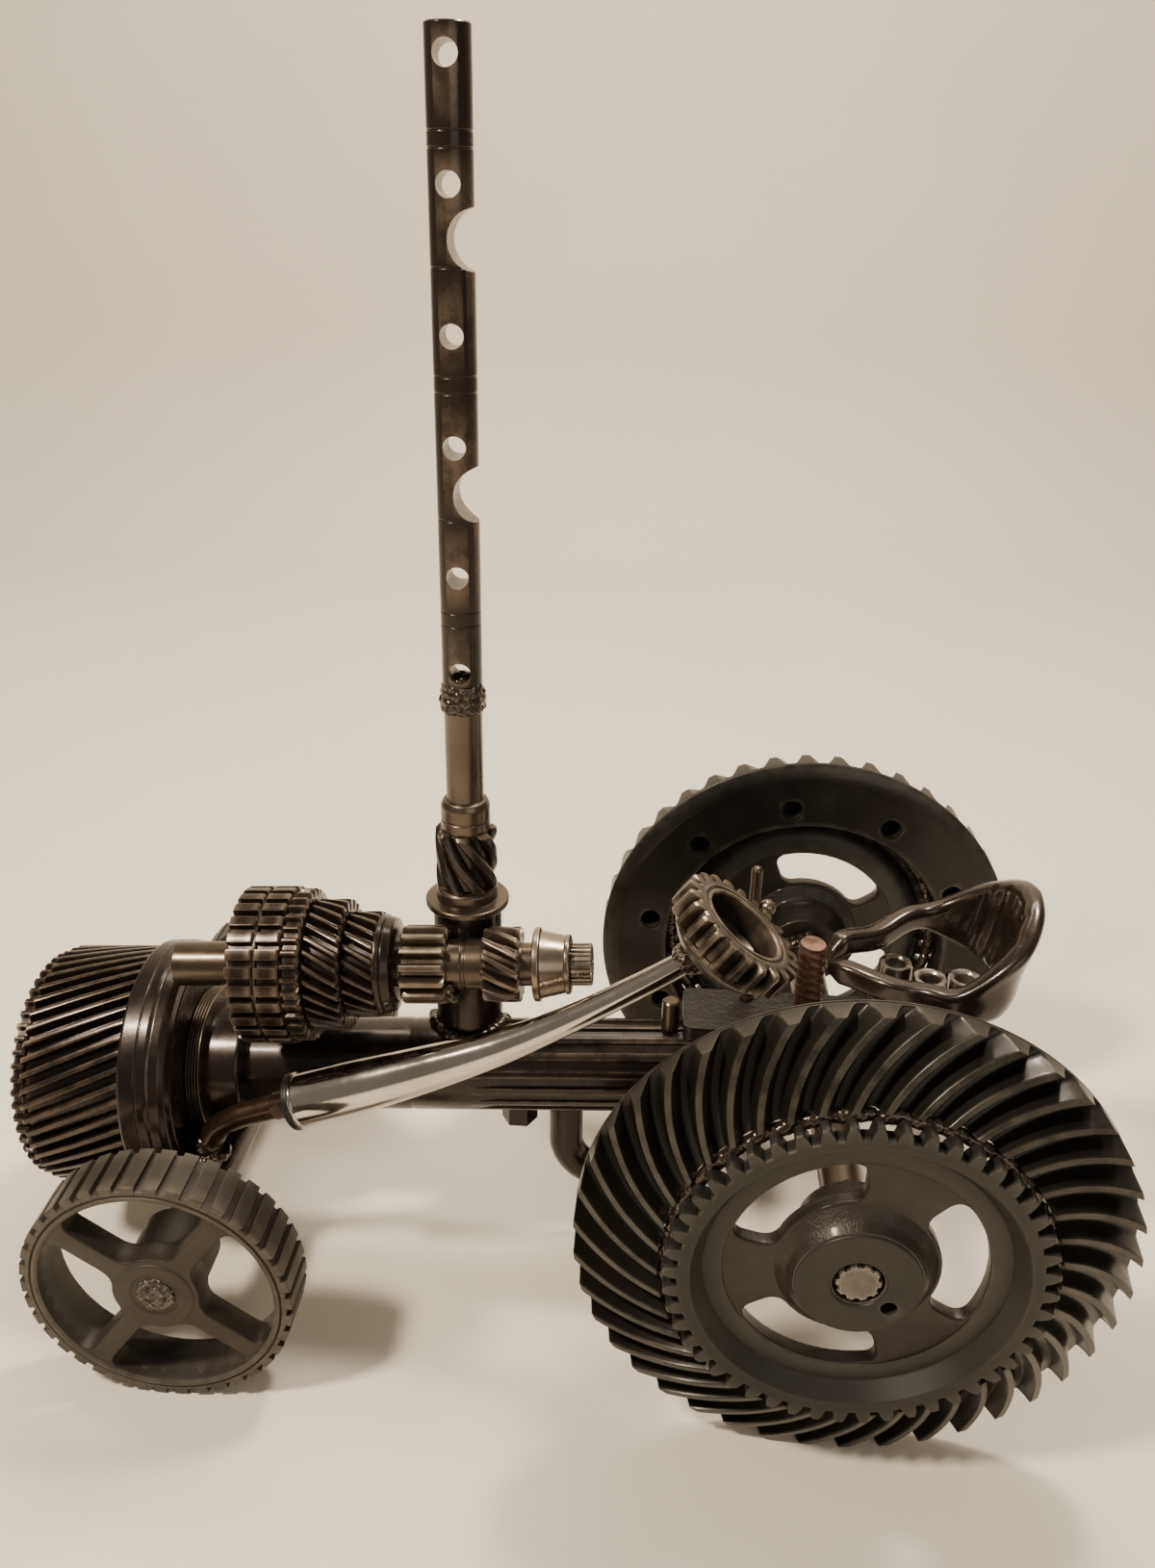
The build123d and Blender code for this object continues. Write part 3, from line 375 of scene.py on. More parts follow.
def noise(tree, coords, scale, detail=4.0, rough=0.55, distortion=0.0):
    """Noise on the piece's own metres."""
    node = tree.nodes.new("ShaderNodeTexNoise")
    node.inputs["Scale"].default_value = scale
    node.inputs["Detail"].default_value = detail
    node.inputs["Roughness"].default_value = rough
    node.inputs["Distortion"].default_value = distortion
    tree.links.new(coords, node.inputs["Vector"])
    return node.outputs["Fac"]


def ranged(tree, value, low, high, new_low=0.0, new_high=1.0):
    """A value mapped from one range to another, and clamped."""
    node = tree.nodes.new("ShaderNodeMapRange")
    for name, number in (("From Min", low), ("From Max", high), ("To Min", new_low), ("To Max", new_high)):
        node.inputs[name].default_value = number
    tree.links.new(value, node.inputs["Value"])
    return node.outputs["Result"]


def maths(tree, operation, first, second):
    """Arithmetic on two values, either of which may be a plain number."""
    node = tree.nodes.new("ShaderNodeMath")
    node.operation = operation
    node.use_clamp = operation in ("MULTIPLY", "ADD")
    for socket, value in zip(node.inputs, (first, second)):
        if isinstance(value, (int, float)):
            socket.default_value = value
        else:
            tree.links.new(value, socket)
    return node.outputs["Value"]


def mixed(tree, share, first, second):
    """Blend of two colours, each a tuple or a socket."""
    node = tree.nodes.new("ShaderNodeMix")
    node.data_type = "RGBA"
    tree.links.new(share, node.inputs["Factor"])
    for socket, value in ((node.inputs[6], first), (node.inputs[7], second)):
        if isinstance(value, tuple):
            socket.default_value = (*value, 1)
        else:
            tree.links.new(value, socket)
    return node.outputs[2]


def metal(name, main, second, worn, rough=(0.3, 0.45), metallic=0.7, patches=14.0, wear=0.8,
          shade_and_grime=0.8, coat=0.0,
          grain=420.0, bump=0.12, lines=0.0, coat_rough=0.12, specular=0.5):
    """Steel with patchy colour, worn edges, painted shade and grime in inside corners, fine grain and, if
    wanted, brushed lines.
    """
    material, tree, shader = new_material(name)
    texture = tree.nodes.new("ShaderNodeTexCoord")
    coords = texture.outputs["Object"]
    marks = tree.nodes.new("ShaderNodeAttribute")
    marks.attribute_name = "edges"
    split = tree.nodes.new("ShaderNodeSeparateColor")
    tree.links.new(marks.outputs["Color"], split.inputs["Color"])
    broad = noise(tree, coords, patches, 6.0, 0.62, 0.4)
    middle = noise(tree, coords, patches * 7, 5.0, 0.6)
    fine = noise(tree, coords, grain, 3.0, 0.6)
    colour = mixed(tree, ranged(tree, broad, 0.35, 0.68), main, second)
    worn_share = maths(tree, "MULTIPLY", split.outputs["Red"], ranged(tree, middle, 0.38, 0.6, 0.15,
                       wear))
    scuffs = maths(tree, "MULTIPLY", ranged(tree, fine, 0.66, 0.8), ranged(tree, broad, 0.5, 0.75, 0.0,
                   wear))
    worn_share = maths(tree, "ADD", worn_share, maths(tree, "MULTIPLY", scuffs, 0.35))
    colour = mixed(tree, worn_share, colour, worn)
    # painted shade: inside corners are darkened towards near black; the same share also roughens them as
    # grime
    corner_shade_and_grime = maths(tree, "MULTIPLY", split.outputs["Green"], ranged(tree, middle, 0.3, 0.6,
                        0.3 * shade_and_grime, shade_and_grime))
    colour = mixed(tree, corner_shade_and_grime, colour, (0.006, 0.0045, 0.0035))
    tree.links.new(colour, shader.inputs["Base Color"])
    roughness = ranged(tree, middle, 0.3, 0.7, *rough)
    roughness = maths(tree, "ADD", roughness, maths(tree, "MULTIPLY", corner_shade_and_grime, 0.2))
    tree.links.new(roughness, shader.inputs["Roughness"])
    shader.inputs["Metallic"].default_value = metallic
    shader.inputs["Coat Weight"].default_value = coat
    shader.inputs["Coat Roughness"].default_value = coat_rough
    shader.inputs["Specular IOR Level"].default_value = specular
    height = maths(tree, "ADD", maths(tree, "MULTIPLY", fine, 0.35),
                   maths(tree, "MULTIPLY", middle, 0.65))
    if lines:
        wave = tree.nodes.new("ShaderNodeTexWave")
        wave.wave_type = "RINGS"
        wave.rings_direction = "SPHERICAL"
        wave.inputs["Scale"].default_value = 620.0
        wave.inputs["Distortion"].default_value = 1.5
        wave.inputs["Detail"].default_value = 2.0
        tree.links.new(coords, wave.inputs["Vector"])
        height = maths(tree, "ADD", height, maths(tree, "MULTIPLY", wave.outputs["Fac"], lines))
    bumped = tree.nodes.new("ShaderNodeBump")
    bumped.inputs["Strength"].default_value = bump
    bumped.inputs["Distance"].default_value = 0.0009
    tree.links.new(height, bumped.inputs["Height"])
    tree.links.new(bumped.outputs["Normal"], shader.inputs["Normal"])
    return material


LACQUER = metal("lacquered_gear_steel", (0.013, 0.0098, 0.0082), (0.03, 0.0195, 0.014),
                (0.22, 0.165, 0.12), rough=(0.2, 0.36), metallic=0.5, wear=0.6, coat=0.2, bump=0.1,
                specular=0.35)
CROWN = metal("crown_wheel_steel", (0.013, 0.012, 0.0105), (0.026, 0.021, 0.016), (0.1, 0.09, 0.074),
              rough=(0.28, 0.46), metallic=0.5, wear=0.6, coat=0.12, bump=0.12, specular=0.35)
MACHINED = metal("machined_grey_face", (0.027, 0.026, 0.023), (0.036, 0.033, 0.028), (0.11, 0.104, 0.09),
                 rough=(0.4, 0.55), metallic=0.55, wear=0.45, bump=0.05, lines=0.25)
PULLEY = metal("pulley_grey_steel", (0.05, 0.045, 0.037), (0.036, 0.028, 0.02), (0.16, 0.14, 0.115),
               rough=(0.42, 0.6), metallic=0.55, wear=0.5, bump=0.12)
CAST = metal("rough_cast_steel", (0.024, 0.02, 0.0165), (0.036, 0.0285, 0.022), (0.14, 0.12, 0.1),
             rough=(0.36, 0.5), metallic=0.5, grain=1100.0, bump=0.9, wear=0.6, coat=0.15)
BRIGHT = metal("worn_bearing_steel", (0.33, 0.285, 0.235), (0.2, 0.155, 0.115), (0.6, 0.54, 0.47),
               rough=(0.2, 0.34), metallic=0.95, wear=0.6, bump=0.06)
SHAFT = metal("warm_shaft_steel", (0.12, 0.095, 0.073), (0.07, 0.05, 0.036), (0.4, 0.33, 0.26),
              rough=(0.24, 0.38), metallic=0.85, wear=0.7, bump=0.08, coat=0.2)
CHROME = metal("chromed_sleeve", (0.62, 0.585, 0.54), (0.5, 0.46, 0.41), (0.72, 0.68, 0.62),
               rough=(0.07, 0.15), metallic=1.0, wear=0.3, bump=0.035, shade_and_grime=0.3)
ROD = metal("brown_rod", (0.085, 0.05, 0.031), (0.042, 0.026, 0.019), (0.3, 0.2, 0.13),
            rough=(0.22, 0.36), metallic=0.8, wear=0.6, coat=0.3, bump=0.1)
RUBBER = metal("black_grommet", (0.008, 0.0075, 0.007), (0.014, 0.012, 0.011), (0.06, 0.055, 0.05),
               rough=(0.3, 0.45), metallic=0.1, wear=0.5)
RUST = metal("rusty_screw", (0.12, 0.055, 0.033), (0.06, 0.03, 0.02), (0.3, 0.17, 0.11),
             rough=(0.34, 0.55), metallic=0.45, wear=0.85, bump=0.5, coat=0.2)
WELD = metal("weld_metal", (0.026, 0.019, 0.015), (0.055, 0.036, 0.026), (0.26, 0.2, 0.15),
             rough=(0.16, 0.34), metallic=0.7, wear=0.7, coat=0.5, bump=0.25, patches=60.0)
PLUG = metal("hub_weld_metal", (0.07, 0.062, 0.052), (0.025, 0.02, 0.017), (0.3, 0.27, 0.23),
             rough=(0.24, 0.44), metallic=0.7, wear=0.8, coat=0.1, bump=0.3, patches=90.0)
SEAT_METAL = metal("forged_fork_steel", (0.019, 0.0135, 0.0105), (0.042, 0.028, 0.02),
                   (0.24, 0.19, 0.145), rough=(0.2, 0.36), metallic=0.6, wear=0.7, coat=0.45, bump=0.2)
STEERING = metal("steering_gear_steel", (0.036, 0.027, 0.021), (0.06, 0.044, 0.033), (0.3, 0.24, 0.185),
                 rough=(0.26, 0.42), metallic=0.75, wear=0.8, coat=0.25, bump=0.12)
SILVER = metal("scuffed_nut_steel", (0.12, 0.095, 0.075), (0.05, 0.036, 0.028), (0.55, 0.5, 0.44),
               rough=(0.18, 0.34), metallic=0.85, wear=0.9, coat=0.3, bump=0.25)

BARE = metal("bare_axle_end", (0.16, 0.15, 0.13), (0.1, 0.09, 0.075), (0.4, 0.37, 0.33),
             rough=(0.35, 0.5), metallic=0.7, wear=0.6, bump=0.2, patches=120.0)
DECK = metal("dark_deck_steel", (0.009, 0.0075, 0.0065), (0.018, 0.013, 0.01), (0.1, 0.08, 0.06),
             rough=(0.3, 0.5), metallic=0.4, wear=0.5, bump=0.5, patches=60.0)

# body, material slot and material of the pieces that are welded into the frame
LACQUERED = (ROOT, "lacquered_steel", LACQUER)
LACQUERED_SHAFT = (ROOT, "lacquered_steel", SHAFT)
MACHINED_SHAFT = (ROOT, "machined_grey", SHAFT)
WELDED = (ROOT, "weld_steel", WELD)
CHROMED = (ROOT, "chrome", CHROME)
BROWN_ROD = (ROOT, "brown_rod", ROD)
WORN_SHAFT = (ROOT, "worn_steel", SHAFT)
WORN_BRIGHT = (ROOT, "worn_steel", BRIGHT)

# ---------------------------------------------------------------- chassis shaft
FLUTE_DEPTH = 1.5
FLUTES = 16


def chassis_ring(station, radius, share):
    """Loop round the chassis shaft; share is how deep the flutes are there, from 0 to 1."""
    angles, radii = [], []
    for flute in range(FLUTES):
        middle = TAU * (flute + 0.5) / FLUTES
        for place, depth in ((-0.5, 0), (-0.36, 0), (-0.3, 0.12), (-0.26, 0.9), (-0.22, 1), (-0.1, 1),
                             (0.1, 1), (0.22, 1), (0.26, 0.9), (0.3, 0.12), (0.36, 0)):
            angles.append(middle + place * TAU / FLUTES)
            radii.append(radius - depth * FLUTE_DEPTH * share)
    return polar(angles, radii, station)


chassis_rings = [chassis_ring(s, r, f) for s, r, f in (
    (-18, 20.7, 0), (-17.2, 21.5, 0), (14, 21.5, 0), (20, 21.5, 0.06), (24, 21.5, 0.7), (28, 21.5, 1),
    (90, 21.5, 1), (140, 21.5, 1), (150, 21.5, 0.85), (156, 21.5, 0.4), (160, 21.5, 0.1), (164, 21.5, 0),
    (190, 21.5, 0), (191, 21.2, 0), (192, 21.2, 0), (193, 21.5, 0), (240, 21.5, 0), (268, 21.5, 0),
    (291, 21.5, 0), (291.5, 19, 0), (351, 19, 0), (352, 18.2, 0))]
skin("chassis_fluted_shaft", CHASSIS, chassis_rings, *LACQUERED, ["chassis_shaft"], closed=False)

front_outline = tooth_outline(49, 50.6, 55.4, 0.6, 0.32, hollow=0.05)
gear("front_helical_gear_detail", CHASSIS, front_outline, 313.5, 359.1, 19.0, *LACQUERED,
     ["front_helical_gear"], twist=-helix(22, 45.6, 55.4), chamfer=0.7, steps=10)
gear("front_dog_ring_detail", CHASSIS, tooth_outline(54, 50.8, 53.2, 0.6, 0.26), 359.1, 365.0, 40.0,
     *LACQUERED, ["front_dog_ring"], chamfer=0.9, steps=3)
lathe("front_plain_ring_detail", CHASSIS, [(19, 299.5), (57.9, 299.5), (58.4, 301), (58.4, 304.6),
      (58.0, 304.9), (58.0, 305.3), (58.4, 305.6), (58.4, 312.4), (57.6, 313.5), (19, 313.5)],
      *LACQUERED, ["front_plain_ring"], steps=160)
lathe("front_step_ring_detail", CHASSIS, [(19, 291.5), (51.0, 291.5), (51.6, 292), (55.6, 292.7),
      (57.4, 295.1), (58.1, 299.5), (19, 299.5)], *LACQUERED, ["front_step_ring"], steps=160)

thread_profile = [(21.5, 284.5), (35.2, 284.5)]
for ridge in range(5):
    thread_profile += [(35.9, 284.7 + 1.4 * ridge), (35.9, 285.3 + 1.4 * ridge),
                       (35.1, 285.8 + 1.4 * ridge)]
thread_profile += [(21.5, 291.5)]
lathe("threaded_collar_detail", CHASSIS, thread_profile, *LACQUERED_SHAFT, ["threaded_collar"],
      radius=0.15, steps=128)
lathe("thrust_ring_detail", CHASSIS, [(21.5, 268.8), (29.2, 268.8), (29.8, 269.8), (29.8, 284.5),
      (21.5, 284.5)], *LACQUERED, ["thrust_ring"], steps=128)

# ---------------------------------------------------------------- laid shaft and its gears
lathe("laid_shaft_detail", LAID, [(1, 104.2), (7.4, 104.2), (8.3, 105), (8.3, 113.1), (9.6, 113.1),
      (9.6, 135.3), (11.4, 135.3), (11.4, 159.2), (10.9, 159.6), (10.9, 161), (11.4, 161.4),
      (11.4, 167.8), (10, 167.8), (10, 291.5), (1, 291.5)], *MACHINED_SHAFT, ["laid_shaft"],
      closed=False)
gear("laid_shaft_spline_tip", LAID, tooth_outline(24, 8.45, 9.35, 0.6, 0.36), 103.7, 113.0, 4.2, ROOT,
     "machined_grey", BRIGHT, chamfer=0.5, steps=2)
gear("laid_shaft_gear_teeth", LAID, tooth_outline(13, 12.4, 16.7, 0.7, 0.28, hollow=0.07), 135.1, 151.5,
     9.4, *MACHINED_SHAFT, twist=helix(30, 16.4, 16.7), chamfer=0.8, steps=8)
hub_outline = tooth_outline(28, 31.6, 35.0, 0.68, 0.58, hollow=0.0)
gear("double_clutch_hub_front", LAID, hub_outline, 246.8, 258.2, 10.0, *LACQUERED,
     ["double_clutch_hub"], chamfer=0.7, steps=3)
gear("double_clutch_hub_rear", LAID, hub_outline, 235.1, 245.7, 10.0, *LACQUERED,
     chamfer=0.7, steps=3)
lathe("double_clutch_hub_groove", LAID, [(10, 245.2), (33.2, 245.2), (33.2, 247.2), (10, 247.2)],
      *LACQUERED, steps=120)
gear("dog_tooth_ring_detail", LAID, tooth_outline(36, 31.4, 33.8, 0.64, 0.22), 227.1, 235.1, 10.0,
     *LACQUERED, ["dog_tooth_ring"], chamfer=1.0, steps=3)
gear("large_speed_gear_detail", LAID, tooth_outline(28, 24.8, 29.0, 0.66, 0.26, hollow=0.06), 211.45,
     226.75, 10.05, "large_gear_body", "lacquered_steel", LACQUER, ["large_speed_gear"],
     twist=helix(30, 15.3, 29.0), chamfer=0.7, steps=8, recess=(15.5, 1.6))
gear("small_speed_gear_detail", LAID, tooth_outline(22, 19.2, 23.5, 0.66, 0.27, hollow=0.06), 197.3,
     211.1, 10.05, "small_gear_body", "lacquered_steel", LACQUER, ["small_speed_gear"],
     twist=helix(30, 13.8, 23.5), chamfer=0.7, steps=8)
lathe("synchro_cone_detail", LAID, [(10.05, 189.6), (16.4, 189.6), (17.0, 190.1), (20.6, 190.9),
      (21.6, 194), (21.1, 194.3), (21.1, 194.9), (22.2, 195.3), (22.4, 197.3), (10.05, 197.3)],
      "small_gear_body", "lacquered_steel", LACQUER, ["synchro_cone"])
gear("spur_pinion_detail", LAID, tooth_outline(14, 12.9, 17.5, 0.7, 0.3, hollow=0.07), 167.6, 187.6,
     10.0, *LACQUERED_SHAFT, ["spur_pinion"], chamfer=0.8, steps=4)
lathe("tapered_bearing_race_detail", LAID, [(9.6, 113.1), (12.5, 113.1), (13.2, 113.6), (13.2, 115.1),
      (12.6, 115.5), (15.0, 126.1), (16.4, 126.5), (16.4, 128.7), (15.8, 129.3), (9.6, 129.3)],
      *WORN_BRIGHT, ["tapered_bearing_race"], radius=0.3)

# ---------------------------------------------------------------- exhaust stack
lathe("exhaust_post_detail", STACK, [(1, 112), (15.4, 112), (15.4, 166), (15.1, 166.6), (15.1, 167.4),
      (15.4, 168), (15.4, 182.3), (1, 182.3)], *LACQUERED, ["exhaust_post"], closed=False)
lathe("stack_flange_race_detail", STACK, [(1, 182.3), (18.2, 182.3), (18.8, 182.9), (18.8, 184.9),
      (18.3, 185.4), (13.6, 185.8), (13.6, 190.2), (12.6, 191.4), (1, 191.4)], *WORN_SHAFT,
      ["stack_flange_race"], radius=0.3, closed=False)
gear("stack_pinion_teeth", STACK, tooth_outline(7, 9.9, 13.7, 0.7, 0.3, hollow=0.12), 191.4, 220.0, 5.0,
     *LACQUERED, ["stack_pinion_shaft"], twist=-helix(38, 28.6, 13.7), chamfer=1.2, steps=16)
lathe("stack_pinion_collar", STACK, [(1, 219.6), (10.2, 219.6), (10.8, 220.3), (10.8, 224.6),
      (10.5, 224.9), (10.5, 225.5), (10.8, 225.8), (10.8, 231.5), (9.6, 234), (8.1, 234.3), (8.1, 276),
      (1, 276)], *LACQUERED_SHAFT, radius=0.4, closed=False)

rocker_profile = [(0.5, 288), (8.34, 288)]
for level in (314, 319.5, 357, 405, 411, 449, 488, 493.5):
    rocker_profile += [(8.34, level - 0.45), (8.12, level - 0.25), (8.12, level + 0.25),
                       (8.34, level + 0.45)]
rocker_profile += [(8.34, 526.0), (7.74, 526.6), (0.5, 526.6)]
rocker = lathe("rocker_shaft_detail", STACK, rocker_profile, *LACQUERED,
               ["rocker_shaft_pipe"], radius=0.1, steps=96, closed=False)


def drill(obj, cuts):
    """Cut round holes; each cut is a point in metres, a direction, a radius and a length in millimetres."""
    bm = bmesh.new()
    for centre, direction, radius, length in cuts:
        turn = Vector((0, 0, 1)).rotation_difference(Vector(direction)).to_matrix().to_4x4()
        bmesh.ops.create_cone(bm, cap_ends=True, segments=48, radius1=radius * MM, radius2=radius * MM,
                              depth=length * MM, matrix=Matrix.Translation(Vector(centre)) @ turn)
    mesh = bpy.data.meshes.new("cutter")
    bm.to_mesh(mesh)
    bm.free()
    cutter = bpy.data.objects.new("cutter", mesh)
    bpy.context.scene.collection.objects.link(cutter)
    modifier = obj.modifiers.new("cut", "BOOLEAN")
    modifier.operation = "DIFFERENCE"
    modifier.solver = "EXACT"
    modifier.object = cutter
    depsgraph = bpy.context.evaluated_depsgraph_get()
    result = bpy.data.meshes.new_from_object(obj.evaluated_get(depsgraph))
    obj.modifiers.clear()
    obj.data = result
    bpy.data.objects.remove(cutter)
    for attribute in list(obj.data.color_attributes):
        obj.data.color_attributes.remove(attribute)
    mark_edges(obj.data)
    obj.data.shade_smooth()
    obj.data.set_sharp_from_angle(angle=math.radians(32))
    for face in obj.data.polygons:
        if abs(face.normal.y) > 0.9995:
            face.use_smooth = False


rocker_cuts = []
for pair in range(3):
    upper = 526.6 - 9.8 - pair * 91.2
    for level in (upper, upper - 40.4):
        rocker_cuts.append((STACK.world([[0, 0, level]])[0], (0, 1, 0), 4.5, 60))
for drop in (68.3, 159.8):
    rocker_cuts.append((STACK.world([[8.34 - 9.0 + 11.0, 0, 526.6 - drop]])[0], (0, 1, 0), 11.0, 60))
drill(rocker, rocker_cuts)

# ---------------------------------------------------------------- steering lever and wheel
LEVER_Y = -0.040
rear_x = REAR[0] * 1000


def lever_point(behind, height):
    """Point of the lever's upright plane, from millimetres behind the sleeve's start."""
    return ((rear_x - 235.9 + behind) * MM, LEVER_Y, height * MM)


sleeve_line = smooth_path([(0, 103.0, 12.3), (29, 113.4, 11.8), (61, 125.6, 9.9), (93, 139.4, 7.6),
                           (123.4, 156.4, 5.9), (149, 173.0, 5.3), (168, 186.2, 5.0)], 60)
tube("lever_chrome_sleeve_detail", [lever_point(p[0], p[1]) for p in sleeve_line],
     [p[2] for p in sleeve_line], *CHROMED, ["lever_chrome_sleeve"], steps=72, end_round=0.8)
sleeve_axis = np.array([61.0, 0, 22.0]) / math.hypot(61, 22)
GROMMET = Axes(lever_point(0, 103.0), sleeve_axis, RIGHT)
lathe("lever_grommet_detail", GROMMET, [(4.5, -4), (11.6, -4), (12.9, -3.2), (12.9, -0.6), (12.2, 0),
      (4.5, 0)], ROOT, "black_rubber", RUBBER, ["lever_grommet"], radius=0.6)
lathe("lever_sleeve_lip", GROMMET, [(11.4, -0.3), (12.75, -0.3), (12.95, 0.4), (12.7, 1.2), (12.1, 1.5),
      (11.4, 1.5)], *CHROMED, radius=0.3)

ball = np.array([FRONT[0], LEVER_Y, FRONT[2] + 0.018])
bend_end = np.array(lever_point(0, 103.0)) - sleeve_axis * 0.0035
rod_line = smooth_path([ball + (0.001, 0, 0.003), ball + (0.006, 0, 0.0102), ball + (0.0155, 0, 0.0165),
                        bend_end - sleeve_axis * 0.016, bend_end], 40)
rod_radii = [6.4 - 0.8 * min(1, i / 12) for i in range(41)]
tube("lever_lower_rod_detail", rod_line, rod_radii, *BROWN_ROD, ["lever_lower_rod"], steps=48)
lathe("lever_rod_thread", Axes(bend_end, sleeve_axis, RIGHT),
      [(5.2, -9)] + [(5.9 + 0.35 * (i % 2), -9 + i * 0.55) for i in range(16)] + [(5.2, 0)],
      *BROWN_ROD, radius=0.1, steps=64)

ball_spots = [(*ball, 0.0069), (ball[0] - 0.0015, ball[1], ball[2] + 0.0012, 0.0066)]
for lump in range(14):
    turn = TAU * lump / 14
    ball_spots.append((ball[0] + 0.0075 * math.cos(turn), ball[1] + 0.0068 * math.sin(turn),
                      ball[2] - 0.0055, 0.0026))
bead("lever_ball_weld", ball_spots, *WELDED, ["lever_ball"], seed=3, voxel=0.6, rough=0.18)

STEER = Axes(((rear_x - 44.2) * MM, LEVER_Y, 0.206), (0.60, 0, 0.80), RIGHT)
steer_outline = tooth_outline(22, 24.7, 29.0, 0.64, 0.27, hollow=0.05)
steer_angles, steer_radii = steer_outline


def steer_teeth(station, shrink=0.0):
    """Loop round the steering wheel's teeth."""
    return polar(steer_angles, np.maximum(steer_radii - shrink, 24.6 - shrink), station)


bowl = ((0.8, -24), (11.6, -24), (12.8, -23.4), (18.6, -20.6), (19.8, -19.8), (23.6, -16.2),
        (24.2, -15.2), (24.6, -13.0))
cup = ((23.2, 0), (20.9, 0), (20.5, -0.5), (19.6, -0.5), (19.2, 0), (18.1, 0), (17.5, -0.8), (17.3, -6),
       (16.5, -11), (13, -14), (10.6, -15), (0.8, -15))
steer_rings = [polar(steer_angles, radius, station) for radius, station in bowl]
steer_rings += [steer_teeth(-12.9, 0.9), steer_teeth(-12.2), steer_teeth(-6.5), steer_teeth(-0.9),
                steer_teeth(-0.1, 1.0)]
steer_rings += [polar(steer_angles, radius, station) for radius, station in cup]
skin("steering_wheel_gear_detail", STEER, steer_rings, ROOT, "worn_steel", STEERING,
     ["steering_wheel_gear"], closed=False, smooth_angle=30)
socket_end = STEER.world([[0, 0, -23.2]])[0]
sleeve_end = np.array(lever_point(168, 186.2))
bead("steering_wheel_weld", [(*(sleeve_end * (1 - k) + socket_end * k), 0.0052) for k in (0, 0.35, 0.7)]
     + [(sleeve_end[0] + 0.003 * math.cos(a), sleeve_end[1] + 0.0052 * math.sin(a),
     sleeve_end[2] + 0.004, 0.0026) for a in np.linspace(0, TAU, 12)], *WELDED, seed=5, voxel=0.6)

# ---------------------------------------------------------------- deck, seat and small levers
SCREW = Axes(((rear_x - 10) * MM, 0, 0), UP, (1, 0, 0))
screw_rings = []
SCREW_POINTS = 40
for level in range(0, 151):
    height = 136.5 + level * 0.25
    ring = []
    for point in range(SCREW_POINTS):
        turn = TAU * point / SCREW_POINTS
        lead = (height / 4.2 + 2 * point / SCREW_POINTS) % 1.0
        ring.append((turn, 6.4 - 1.05 * abs(math.sin(math.pi * lead)) ** 1.4))
    screw_rings.append(polar([t for t, _ in ring], [r for _, r in ring], height))
skin("seat_screw_detail", SCREW, screw_rings, ROOT, "rusty_steel", RUST, ["seat_screw"], closed=False,
     smooth_angle=60)


def hex_ring(station, corner_r, round_r=math.inf):
    """Loop round a hexagon whose corners are cut off at the round radius."""
    angles = np.linspace(0, TAU, 48, endpoint=False)
    flat = corner_r * math.cos(math.pi / 6) / np.cos((angles + math.pi / 6) % (math.pi / 3) - math.pi / 6)
    return polar(angles, np.minimum(flat, round_r), station)


def hexagon(name, axes, start, end, corner_r, bore, body, slot, material, nodes=()):
    """Hexagon nut with chamfered corners."""
    rings = [hex_ring(start, corner_r, corner_r * 0.9), hex_ring(start + 1.0, corner_r),
             hex_ring(end - 1.0, corner_r), hex_ring(end, corner_r, corner_r * 0.9)]
    flat = np.linspace(0, TAU, 48, endpoint=False)
    rings += [polar(flat, bore + 0.9, end), polar(flat, bore, end - 0.9), polar(flat, bore, start)]
    return skin(name, axes, rings, body, slot, material, nodes)


NUT_PLACES = ((30, 13.0, 22), (43, 0.0, 23), (59, 2.0, 22.5))
for number, (behind, across, height) in enumerate(NUT_PLACES):
    place = Axes(((rear_x + behind) * MM, across * MM, 0.1365), UP, (math.cos(number), math.sin(number),
                 0))
    hexagon(f"seat_nut_{number + 1}", place, 0, height, 8.0, 4.6, ROOT, "worn_steel", SILVER,
            ["seat_nuts"] if number == 0 else [])
    spots = [(place.origin[0] + 0.0082 * math.cos(a), place.origin[1] + 0.0082 * math.sin(a), 0.1375,
             0.0024) for a in np.linspace(0, TAU, 14, endpoint=False)]
    bead(f"seat_nut_weld_{number + 1}", spots, *WELDED, seed=20 + number, voxel=0.8)

SEAT_TILT = math.radians(5)
SEAT = Axes(((rear_x - 10 + 6.4) * MM, 0.002, 0.1635), (-math.sin(SEAT_TILT), 0, math.cos(SEAT_TILT)),
            (1, 0, 0))


def seat_path(count):
    """Centre line of the fork, from the near arm's root round the back to the far arm's root."""
    near = smooth_path([(2, -3), (10, -9), (24, -16.5), (37, -26), (49, -31.6), (61, -32), (70, -27.5),
                       (76, -15), (78, 0)], count // 2)
    return near + [(a, -b) for a, b in reversed(near[:-1])]


